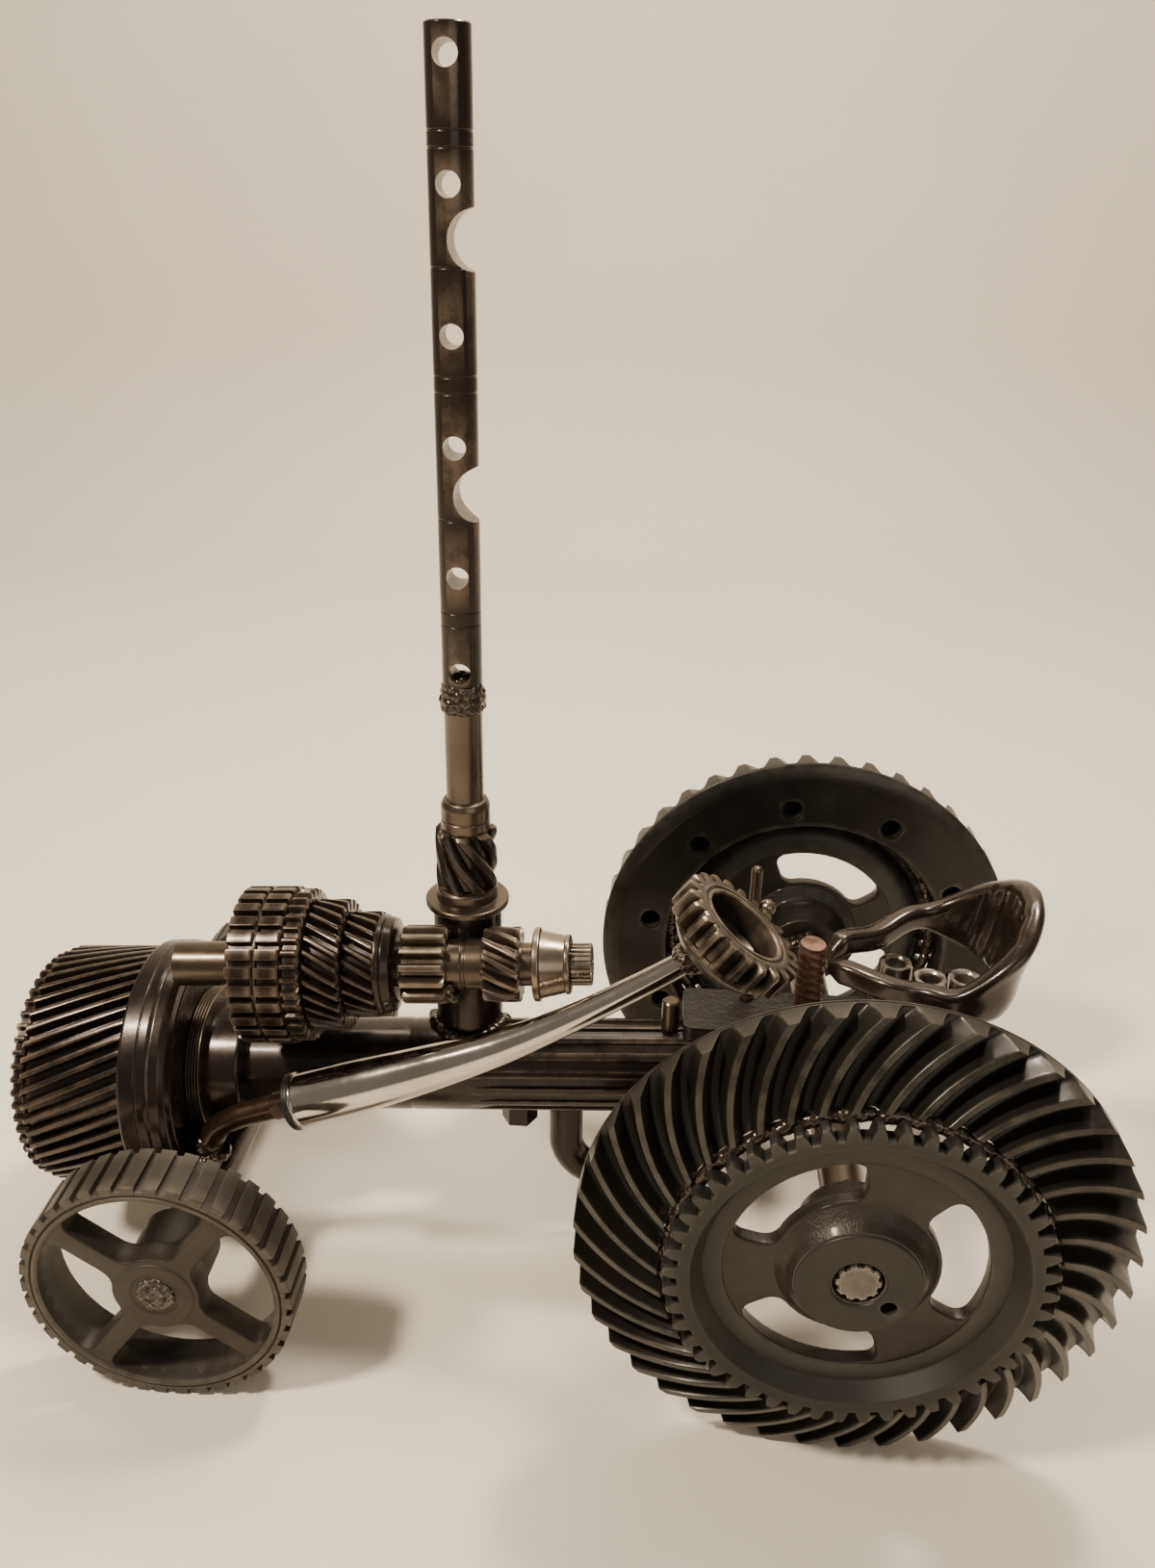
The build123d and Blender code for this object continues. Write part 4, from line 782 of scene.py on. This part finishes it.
seat_line = seat_path(96)
seat_rings = []
for index, (along, across) in enumerate(seat_line):
    before = np.array(seat_line[max(index - 1, 0)])
    after = np.array(seat_line[min(index + 1, len(seat_line) - 1)])
    direction = (after - before) / np.linalg.norm(after - before)
    outward = np.array([direction[1], -direction[0]])
    rise = min(1.0, max(0.0, (along - 46) / 24))
    rise = rise * rise * (3 - 2 * rise)
    low = -5.5 - 6.0 * rise
    high = 5.5 + rise * (15.5 + 13.0 * (1 - (across / 30) ** 2))
    end = min(index, len(seat_line) - 1 - index)
    grow = min(1.0, 0.55 + end * 0.12)
    ridge = 0.45 * math.cos(across * 0.62) * rise
    lift = (3.2 if across > 0 else -2.2) * min(1.0, abs(across) / 7) * (1 - rise)
    lift += 1.3 * math.sin(along * 0.19) * (1 - rise)
    ring = []
    for point in range(48):
        turn = TAU * point / 48
        u = math.copysign(abs(math.cos(turn)) ** 0.62, math.cos(turn))
        v = math.copysign(abs(math.sin(turn)) ** 0.62, math.sin(turn))
        height = (low + high) / 2 + (high - low) / 2 * v * (1 - (1 - grow) * (1 - rise))
        lip = 1 + 0.3 * rise * math.exp(-(((height - high + 3) / 3.5) ** 2))
        waist = 1 - 0.25 * rise * math.exp(-(((height - 6) / 7.0) ** 2))
        offset = u * (4.5 * grow * lip * waist + (ridge if u < 0 else 0))
        lean = 0.27 * rise * (height + 6)
        ring.append((along + outward[0] * offset + lean, across + outward[1] * offset, height + lift))
    seat_rings.append(np.array(ring))
skin("seat_fork_detail", SEAT, seat_rings, ROOT, "forged_steel", SEAT_METAL, ["seat_shift_fork"],
     closed=False, smooth_angle=50)

CONTROL = Axes(((rear_x - 36.5) * MM, 0.010, 0), UP, (1, 0, 0))
lathe("control_rod_detail", CONTROL, [(0.4, 136.5), (3.1, 136.5), (3.1, 138), (2.6, 139), (2.6, 196),
      (2.45, 196.4), (2.45, 197), (2.6, 197.4), (2.6, 204), (1.6, 205.6), (0.4, 206)], *WORN_SHAFT,
      ["control_rod"], radius=0.3, steps=48, closed=False)
knob = CONTROL.world([[2.6 + 4.0 - 0.8, 0, 185.3]])[0]
KNOB = Axes(knob, (1, 0, 0.1), UP)
lathe("control_ball_detail", KNOB, [(0.3, -4.0), (2.0, -3.4), (3.3, -2.2), (4.0, -0.3), (4.0, 0.3),
      (3.3, 2.2), (2.0, 3.4), (0.3, 4.0)], *WORN_BRIGHT, ["control_ball"], radius=0.8, steps=48,
      closed=False)

# ---------------------------------------------------------------- plates and belt pulleys


def arc(radius, start, end, count=24):
    """Points on an arc, in millimetres and degrees."""
    return [around(radius, math.radians(a), 0)[:2] for a in np.linspace(start, end, count)]


def window(inner, outer, start, end, margin, corner):
    """Rounded opening between two radii and two spokes; margin is the spokes' half width."""
    corners = []
    for radius in (inner, outer):
        pad = math.degrees(math.asin(margin / radius))
        corners.append((radius, start + pad, end - pad))
    (r0, a0, b0), (r1, a1, b1) = corners
    turn0, turn1 = math.degrees(corner / r0), math.degrees(corner / r1)
    loop = []

    def bend(first, middle, last):
        for step in range(1, 8):
            t = step / 8
            loop.append(tuple((1 - t) ** 2 * f + 2 * t * (1 - t) * m + t * t * l
                              for f, m, l in zip(first, middle, last)))

    def on(radius, angle):
        return around(radius, math.radians(angle), 0)[:2]

    def toward(point, target, length):
        gap = math.dist(point, target)
        return tuple(p + (t - p) * length / gap for p, t in zip(point, target))

    outer_arc = arc(r1, a1 + turn1, b1 - turn1)
    inner_arc = arc(r0, b0 - turn0, a0 + turn0, 12)
    loop += outer_arc
    bend(outer_arc[-1], on(r1, b1), toward(on(r1, b1), on(r0, b0), corner))
    loop.append(toward(on(r1, b1), on(r0, b0), corner))
    loop.append(toward(on(r0, b0), on(r1, b1), corner))
    bend(toward(on(r0, b0), on(r1, b1), corner), on(r0, b0), inner_arc[0])
    loop += inner_arc
    bend(inner_arc[-1], on(r0, a0), toward(on(r0, a0), on(r1, a1), corner))
    loop.append(toward(on(r0, a0), on(r1, a1), corner))
    loop.append(toward(on(r1, a1), on(r0, a0), corner))
    bend(toward(on(r1, a1), on(r0, a0), corner), on(r1, a1), outer_arc[0])
    return loop


def plate(name, axes, loops, start, end, bevel, body, slot, material, nodes=()):
    """Flat plate with openings: the first loop is its outside, the others are holes."""
    curve = bpy.data.curves.new(name, "CURVE")
    curve.dimensions = "2D"
    curve.fill_mode = "BOTH"
    curve.extrude = (end - start) / 2 - bevel
    curve.bevel_depth = bevel
    curve.bevel_resolution = 2
    curve.offset = -bevel
    for loop in loops:
        spline = curve.splines.new("POLY")
        spline.points.add(len(loop) - 1)
        for point, (x, y) in zip(spline.points, loop):
            point.co = (x, y, 0, 1)
        spline.use_cyclic_u = True
    holder = bpy.data.objects.new(name + "_curve", curve)
    bpy.context.scene.collection.objects.link(holder)
    depsgraph = bpy.context.evaluated_depsgraph_get()
    mesh = bpy.data.meshes.new_from_object(holder.evaluated_get(depsgraph))
    verts = np.array([v.co for v in mesh.vertices])
    verts[:, 2] += (start + end) / 2
    faces = [tuple(p.vertices) for p in mesh.polygons]
    bpy.data.objects.remove(holder)
    return finish_mesh(name, axes.world(verts), faces, body, material, nodes)


PULLEY_ROOT_R = 55.2


def pulley(side_name, side, turn):
    """Front belt pulley with its teeth, four-spoke web, boss and weld."""
    axes = wheel_axes(FRONT, side, turn)
    body = "front_axle_set"
    look = (body, "machined_grey", PULLEY)
    angles, radii = tooth_outline(38, PULLEY_ROOT_R, 57.5, 0.62, 0.62)

    def ring(station, shrink=0.0):
        return polar(angles, np.maximum(radii - shrink, PULLEY_ROOT_R - shrink), station)

    inside = ((53.3, 113.0), (53.0, 112.7), (52.6, 112.7), (52.2, 113.3), (50.9, 113.3), (50.0, 112.6),
              (49.8, 101), (50.2, 90.4), (50.9, 89.6), (53, 89.6))
    rings = [ring(89.6, 0.6), ring(90.2), ring(97), ring(105), ring(112.5), ring(113.0, 0.5)]
    rings += [polar(angles, radius, station) for radius, station in inside]
    skin(f"front_pulley_rim_{side_name}", axes, rings, *look, [f"front_pulley_{side_name}"])
    spokes = (53, 143, 233, 323)
    windows = [window(18.6, 49.9, a, a + 90, 4.6, 6.5) for a in spokes]
    plate(f"front_pulley_web_{side_name}", axes, [arc(50.6, 0, 357, 120), *windows], 101.0, 112.6, 0.7,
          *look)
    lathe(f"front_pulley_boss_{side_name}", axes, [(8.2, 80), (16.2, 80), (17, 81), (17, 111.4),
          (16.6, 111.9), (16.2, 113.0), (15.4, 113.3), (11, 113.3), (10.2, 112.6), (8.2, 112.3)], *look)
    spots = []
    draw = random.Random(7 + side)
    for spot_angle in np.linspace(0, TAU, 16, endpoint=False):
        spots.append((*around(6.6, spot_angle, 112.1 + draw.uniform(-0.3, 0.4)), 2.0))
    spots += [(-2.6, 0.6, 112.0, 3.2), (3.2, 1.8, 111.9, 2.9), (0.4, -3.0, 111.9, 2.9),
              (0.5, 3.5, 111.8, 2.6), (1, 0, 110.6, 4.0)]
    bead(f"front_hub_weld_detail_{side_name}", lumps(axes, spots), body, "weld_steel", PLUG,
         [f"front_hub_weld_{side_name}"], seed=11 + side, voxel=0.45, rough=0.3)


# ---------------------------------------------------------------- rear wheels
RING_TEETH = 41
RING_BACK = 101.6            # station of the crown wheel's flat back
RING_BOLTS = 10
RING_BOLT_CIRCLE_R = 83.2
RING_BOLT_ANGLE = 62.4       # of one hole above the horizontal, seen from the left
SPROCKET_ROOT_R = 67.6
SPROCKET_TIP_R = 73.2
SPROCKET_FACE = 132.2
DOWEL_R = 3.2
DOWEL_CIRCLE_R = 16.0
DOWEL_ANGLE = math.radians(-41)
CROWN_BORE_R = 73.6
TOOTH_FLANK = ((0.43, 1.0), (0.375, 0.985), (0.33, 0.93), (0.285, 0.78), (0.23, 0.56), (0.18, 0.33),
               (0.142, 0.13), (0.12, 0.03), (0.1, 0.0))
TOOTH_SHAPE = [(-place, drop) for place, drop in TOOTH_FLANK] + list(reversed(TOOTH_FLANK))


def crown_ring(share, sink=0.0):
    """Loop across the crown wheel's teeth; share runs from the toe, 0, to the heel, 1."""
    tip = np.array([75.0 + 33.0 * share, 127.0 - 11.7 * share])
    root = np.array([73.7 + 33.9 * share, 121.0 - 15.0 * share])
    spiral = math.radians(-16.0 * (0.8 * share + 0.2 * share * share))
    points = []
    for tooth in range(RING_TEETH):
        for place, drop in TOOTH_SHAPE:
            radius, station = tip + (root - tip) * min(1.0, drop + sink)
            angle = TAU * (tooth + place) / RING_TEETH + spiral
            radius = max(radius, CROWN_BORE_R + 0.1)
            points.append(around(radius, angle, station))
    return np.array(points)


def rear_wheel(side_name, side, turn):
    """Crown wheel with the sprocket welded inside it."""
    axes = wheel_axes(REAR, side, turn)
    body = "rear_axle_set"
    base = crown_ring(1.0)
    base_angles = np.arctan2(base[:, 1], base[:, 0])

    def circle(radius, station, twist=0.0):
        return polar(base_angles + math.radians(twist), radius, station)

    back = ((74.2, 101.6), (76.6, 101.6), (90, 101.6), (99.3, 101.6), (100.4, 101.8), (106.9, 103.4),
            (107.6, 104.1), (107.6, 104.6), (107.2, 104.8), (107.2, 105.1), (107.6, 105.4))
    rings = [circle(*corner) for corner in back]
    rings += [crown_ring(1.0, 1.2), base * (0.9985, 0.9985, 1), crown_ring(0.975)]
    for step in range(1, 15):
        rings.append(crown_ring(0.975 - 0.95 * step / 15))
    rings += [crown_ring(0.025), crown_ring(0.0) * (1.002, 1.002, 1) - (0, 0, 0.25),
              circle(73.6, 119.6, 16), circle(73.6, 112, 16), circle(73.6, 102.2)]
    ring = skin(f"ring_gear_detail_{side_name}", axes, rings, body, "lacquered_steel", CROWN,
                [f"ring_gear_{side_name}"], smooth_angle=34)
    for hole_r, depth in ((5.0, 10.0), (5.7, 0.7)):
        cuts = []
        for bolt in range(RING_BOLTS):
            angle = math.radians(RING_BOLT_ANGLE + 360 * bolt / RING_BOLTS)
            across, rise = RING_BOLT_CIRCLE_R * math.cos(angle), RING_BOLT_CIRCLE_R * math.sin(angle)
            place = REAR + np.array([across, side * RING_BACK, rise]) * MM
            cuts.append((place, (0, 1, 0), hole_r, 2 * depth))
        drill(ring, cuts)

    angles, radii = tooth_outline(48, SPROCKET_ROOT_R, SPROCKET_TIP_R, 0.64, 0.25, hollow=0.08)

    def level(station, shrink=0.0):
        return polar(angles, np.maximum(radii - shrink, SPROCKET_ROOT_R - shrink), station)

    dish = ((66.4, 132.0), (63.7, 132.0), (63.0, 131.8), (62.4, 131.2), (58.4, 124.6), (57.9, 124.1),
            (57.2, 124.0), (51.0, 124.0), (50.5, 123.7), (50.3, 122.6), (50.3, 117.4), (50.8, 117.0),
            (57.4, 117.0), (62.4, 119.8), (65.2, 124.7), (65.8, 125.0))
    rim = [level(125.0, 0.6), level(125.6), level(128.5), level(131.4), level(132.0, 0.6)]
    rim += [polar(angles, radius, station) for radius, station in dish]
    skin(f"sprocket_rim_{side_name}", axes, rim, body, "machined_grey", MACHINED,
         [f"sprocket_{side_name}"])
    slots = [window(32.0, 49.7, a - 38, a + 38, 0.01, 6.5) for a in (8, 128, 248)]
    plate(f"sprocket_web_{side_name}", axes, [arc(51.0, 0, 357, 120), *slots], 117.1, 123.5, 1.0, body,
          "cast_steel", CAST)
    hub = lathe(f"sprocket_hub_{side_name}", axes, [(9.6, 98), (19.4, 98), (20, 98.6), (24, 113),
                (30.4, 117), (31.6, 119.4), (31.2, 123), (29.4, 124.6), (26.6, 127.4), (25.1, 129.8),
                (24.2, 131.2), (9.6, 131.2)], body, "cast_steel", CAST, radius=1.2, steps=120)
    face = lathe(f"sprocket_hub_face_{side_name}", axes, [(10.4, 122.5), (23.2, 129.2), (23.9, 130.8),
                 (23.8, 131.6), (23.2, 132.2), (11.2, 132.2), (10.4, 131.4)], body, "machined_grey",
                 MACHINED, radius=0.4, steps=120)
    dowel = around(DOWEL_CIRCLE_R, DOWEL_ANGLE, SPROCKET_FACE)
    for part in (hub, face):
        drill(part, [(axes.world([dowel])[0], RIGHT, DOWEL_R, 20)])
    tip_angles, tip_radii = tooth_outline(10, 7.9, 8.9, 0.66, 0.44)
    tip = [polar(tip_angles, tip_radii, 118.8), polar(tip_angles, tip_radii, 130.4), polar(tip_angles,
           tip_radii - 0.6, 131.2), polar(tip_angles, 6.2, 131.2), polar(tip_angles, 0.6, 131.2)]
    skin(f"rear_axle_tip_{side_name}", axes, tip, body, "machined_grey", BARE, closed=False)
    spots = []
    draw = random.Random(31 + side)
    for place in np.linspace(0, TAU, 18, endpoint=False):
        reach = 11.4 + draw.uniform(-0.5, 0.9)
        spots.append((*around(reach, place, 95.6 + draw.uniform(-1, 1)), 2.9))
        spots.append((*around(10.4, place + 0.2, 91.4 + draw.uniform(-1, 1)), 2.6))
    bead(f"rear_hub_weld_detail_{side_name}", lumps(axes, spots), body, "weld_steel", WELD,
         [f"rear_hub_weld_{side_name}"], seed=17 + side, voxel=0.8)
    for tack in range(6):
        angle = TAU * tack / 6
        spots = [(*around(71.3, angle + k * 0.035, 122.2 + 0.5 * math.sin(5 * k)),
                 3.1) for k in range(-14, 15)]
        spots.append((*around(70.6, angle, 120.0), 2.6))
        bead(f"ring_tack_{side_name}_{tack + 1}", lumps(axes, spots), body, "weld_steel", WELD,
             [f"ring_tack_welds_{side_name}"], seed=40 + tack, voxel=0.7)


for name, side, front_turn, rear_turn in (("left", -1, 0.0, 0.0), ("right", 1, 25.0, -20.5)):
    pulley(name, side, front_turn)
    rear_wheel(name, side, rear_turn)

lathe("rear_axle_bar", wheel_axes(REAR, 1), [(0.6, -119), (8.7, -119), (9.3, -118.4), (9.3, 118.4),
      (8.7, 119), (0.6, 119)], "rear_axle_set", "machined_grey", SHAFT, ["rear_axle"], steps=72,
      closed=False)

# ---------------------------------------------------------------- welds between the fixed parts


def ring_bead(axes, radius, station, lump, count, seed):
    """Lumps of a weld bead round a shaft, in metres."""
    draw = random.Random(seed)
    spots = []
    for place in np.linspace(0, TAU, count, endpoint=False):
        reach = radius + draw.uniform(-0.25, 0.25) * lump
        spots.append(around(reach, place, station + draw.uniform(-0.3, 0.3)))
    world = axes.world(spots)
    return [(*p, lump * draw.uniform(0.85, 1.1) * MM) for p in world]


CHASSIS_R = 21.5
POST_OFFSET = 8.0    # of the stack, right of the chassis shaft
POST_WELD_R = 16.6
spots = []
draw = random.Random(77)
for place in np.linspace(0, TAU, 30, endpoint=False):
    x, y = POST_WELD_R * math.cos(place), POST_WELD_R * math.sin(place)
    across = min(abs(y + POST_OFFSET), 20.5)
    shaft_top = 98.25 + math.sqrt(CHASSIS_R**2 - across**2)
    spots.append((x, y, max(shaft_top, 106.5) + draw.uniform(-0.6, 0.6) + 0.5, 3.1))
bead("post_foot_weld_detail", lumps(STACK, spots), *WELDED, ["post_foot_weld"], seed=8)
stack_spots = []
for seed, (radius, station, lump) in enumerate(((7.4, 277.2, 2.3), (7.6, 280.5, 2.2),
                                                (7.2, 284, 2.3), (7.0, 286.6, 1.9))):
    stack_spots += ring_bead(STACK, radius, station, lump, 22, 91 + seed)
bead("stack_top_weld", stack_spots + lumps(STACK, [(0, 0, z, 7.8) for z in (278, 282, 285.5)]),
     *WELDED, ["stack_weld"], seed=9, voxel=0.6)
bead("pinion_to_post_weld", lumps(LAID, [(17.0 * math.cos(a) + 4, 17.0 * math.sin(a), 166.2, 3.0)
                                         for a in np.linspace(-0.5, math.pi * 0.9, 10)]),
     *WELDED, seed=10)

for node, material in (("front_axle_tube", LACQUER), ("front_axle", SHAFT), ("deck_plate", DECK),
                       ("deck_stud", SHAFT), ("drawbar_pipe", LACQUER),
                       ("drawbar_bolt", LACQUER)):
    frame["nodes"][node].data.materials.clear()
    frame["nodes"][node].data.materials.append(material)

# ---------------------------------------------------------------- floor, light and camera
PAPER, tree, shader = new_material("pale_paper")
coords = tree.nodes.new("ShaderNodeTexCoord").outputs["Object"]
tint = mixed(tree, ranged(tree, noise(tree, coords, 1.6, 4.0), 0.35, 0.7), (0.86, 0.80, 0.70),
             (0.82, 0.75, 0.65))
tree.links.new(tint, shader.inputs["Base Color"])
shader.inputs["Roughness"].default_value = 0.7
shader.inputs["Specular IOR Level"].default_value = 0.25

floor_profile = [(-2.4, 0.0), (1.2, 0.0)]
for step in range(1, 13):
    turn = math.radians(90 * step / 12)
    floor_profile.append((1.2 + 0.3 * math.sin(turn), 0.3 - 0.3 * math.cos(turn)))
floor_profile += [(1.52, 0.8), (1.56, 2.6)]
floor_verts = [(x, y, z) for y, z in floor_profile for x in (-3.2, 3.2)]
floor_faces = [(2 * i, 2 * i + 1, 2 * i + 3, 2 * i + 2) for i in range(len(floor_profile) - 1)]
floor_mesh = bpy.data.meshes.new("paper_sweep")
floor_mesh.from_pydata(floor_verts, [], floor_faces)
floor_mesh.materials.append(PAPER)
floor_mesh.shade_smooth()
floor = bpy.data.objects.new("paper_sweep", floor_mesh)
bpy.context.scene.collection.objects.link(floor)


def area_light(name, place, target, size, watts, colour):
    """Soft rectangular light aimed at a point."""
    light = bpy.data.lights.new(name, "AREA")
    light.shape = "RECTANGLE"
    light.size, light.size_y = size
    light.energy = watts
    light.color = colour
    obj = bpy.data.objects.new(name, light)
    bpy.context.scene.collection.objects.link(obj)
    obj.location = place
    obj.rotation_euler = (Vector(target) - Vector(place)).to_track_quat("-Z", "Y").to_euler()


MIDDLE = (0.0, 0.0, 0.12)
area_light("key_light", (-0.75, -0.55, 1.35), MIDDLE, (0.17, 0.17), 27, (1.0, 0.87, 0.71))
area_light("back_light", (0.35, 0.38, 1.45), MIDDLE, (0.2, 0.16), 15, (1.0, 0.88, 0.74))
area_light("front_fill", (0.9, -1.5, 0.9), MIDDLE, (1.2, 0.9), 5, (1.0, 0.9, 0.78))
area_light("paper_light", (0.0, 0.95, 1.9), (0.0, 1.35, 0.25), (1.6, 0.4), 22, (1.0, 0.9, 0.76))
world = bpy.data.worlds.new("room")
bpy.context.scene.world = world
world.use_nodes = True
background = world.node_tree.nodes["Background"]
background.inputs["Color"].default_value = (1.0, 0.88, 0.73, 1)
background.inputs["Strength"].default_value = 0.24

camera_data = bpy.data.cameras.new("camera")
camera_data.lens = 29.12
camera_data.sensor_width = 36.0
camera_data.sensor_fit = "AUTO"
camera = bpy.data.objects.new("camera", camera_data)
bpy.context.scene.collection.objects.link(camera)
YAW, PITCH, ROLL = -0.0633, -0.4318, 0.0175
ahead = np.array([math.sin(YAW) * math.cos(PITCH), math.cos(YAW) * math.cos(PITCH), math.sin(PITCH)])
level_right = np.array([math.cos(YAW), -math.sin(YAW), 0.0])
level_up = np.cross(level_right, ahead)
camera_right = math.cos(ROLL) * level_right + math.sin(ROLL) * level_up
camera_up = -math.sin(ROLL) * level_right + math.cos(ROLL) * level_up
camera.matrix_world = Matrix((
    (camera_right[0], camera_up[0], -ahead[0], 0.04442),
    (camera_right[1], camera_up[1], -ahead[1], -0.48832),
    (camera_right[2], camera_up[2], -ahead[2], 0.47223),
    (0, 0, 0, 1),
))
bpy.context.scene.camera = camera
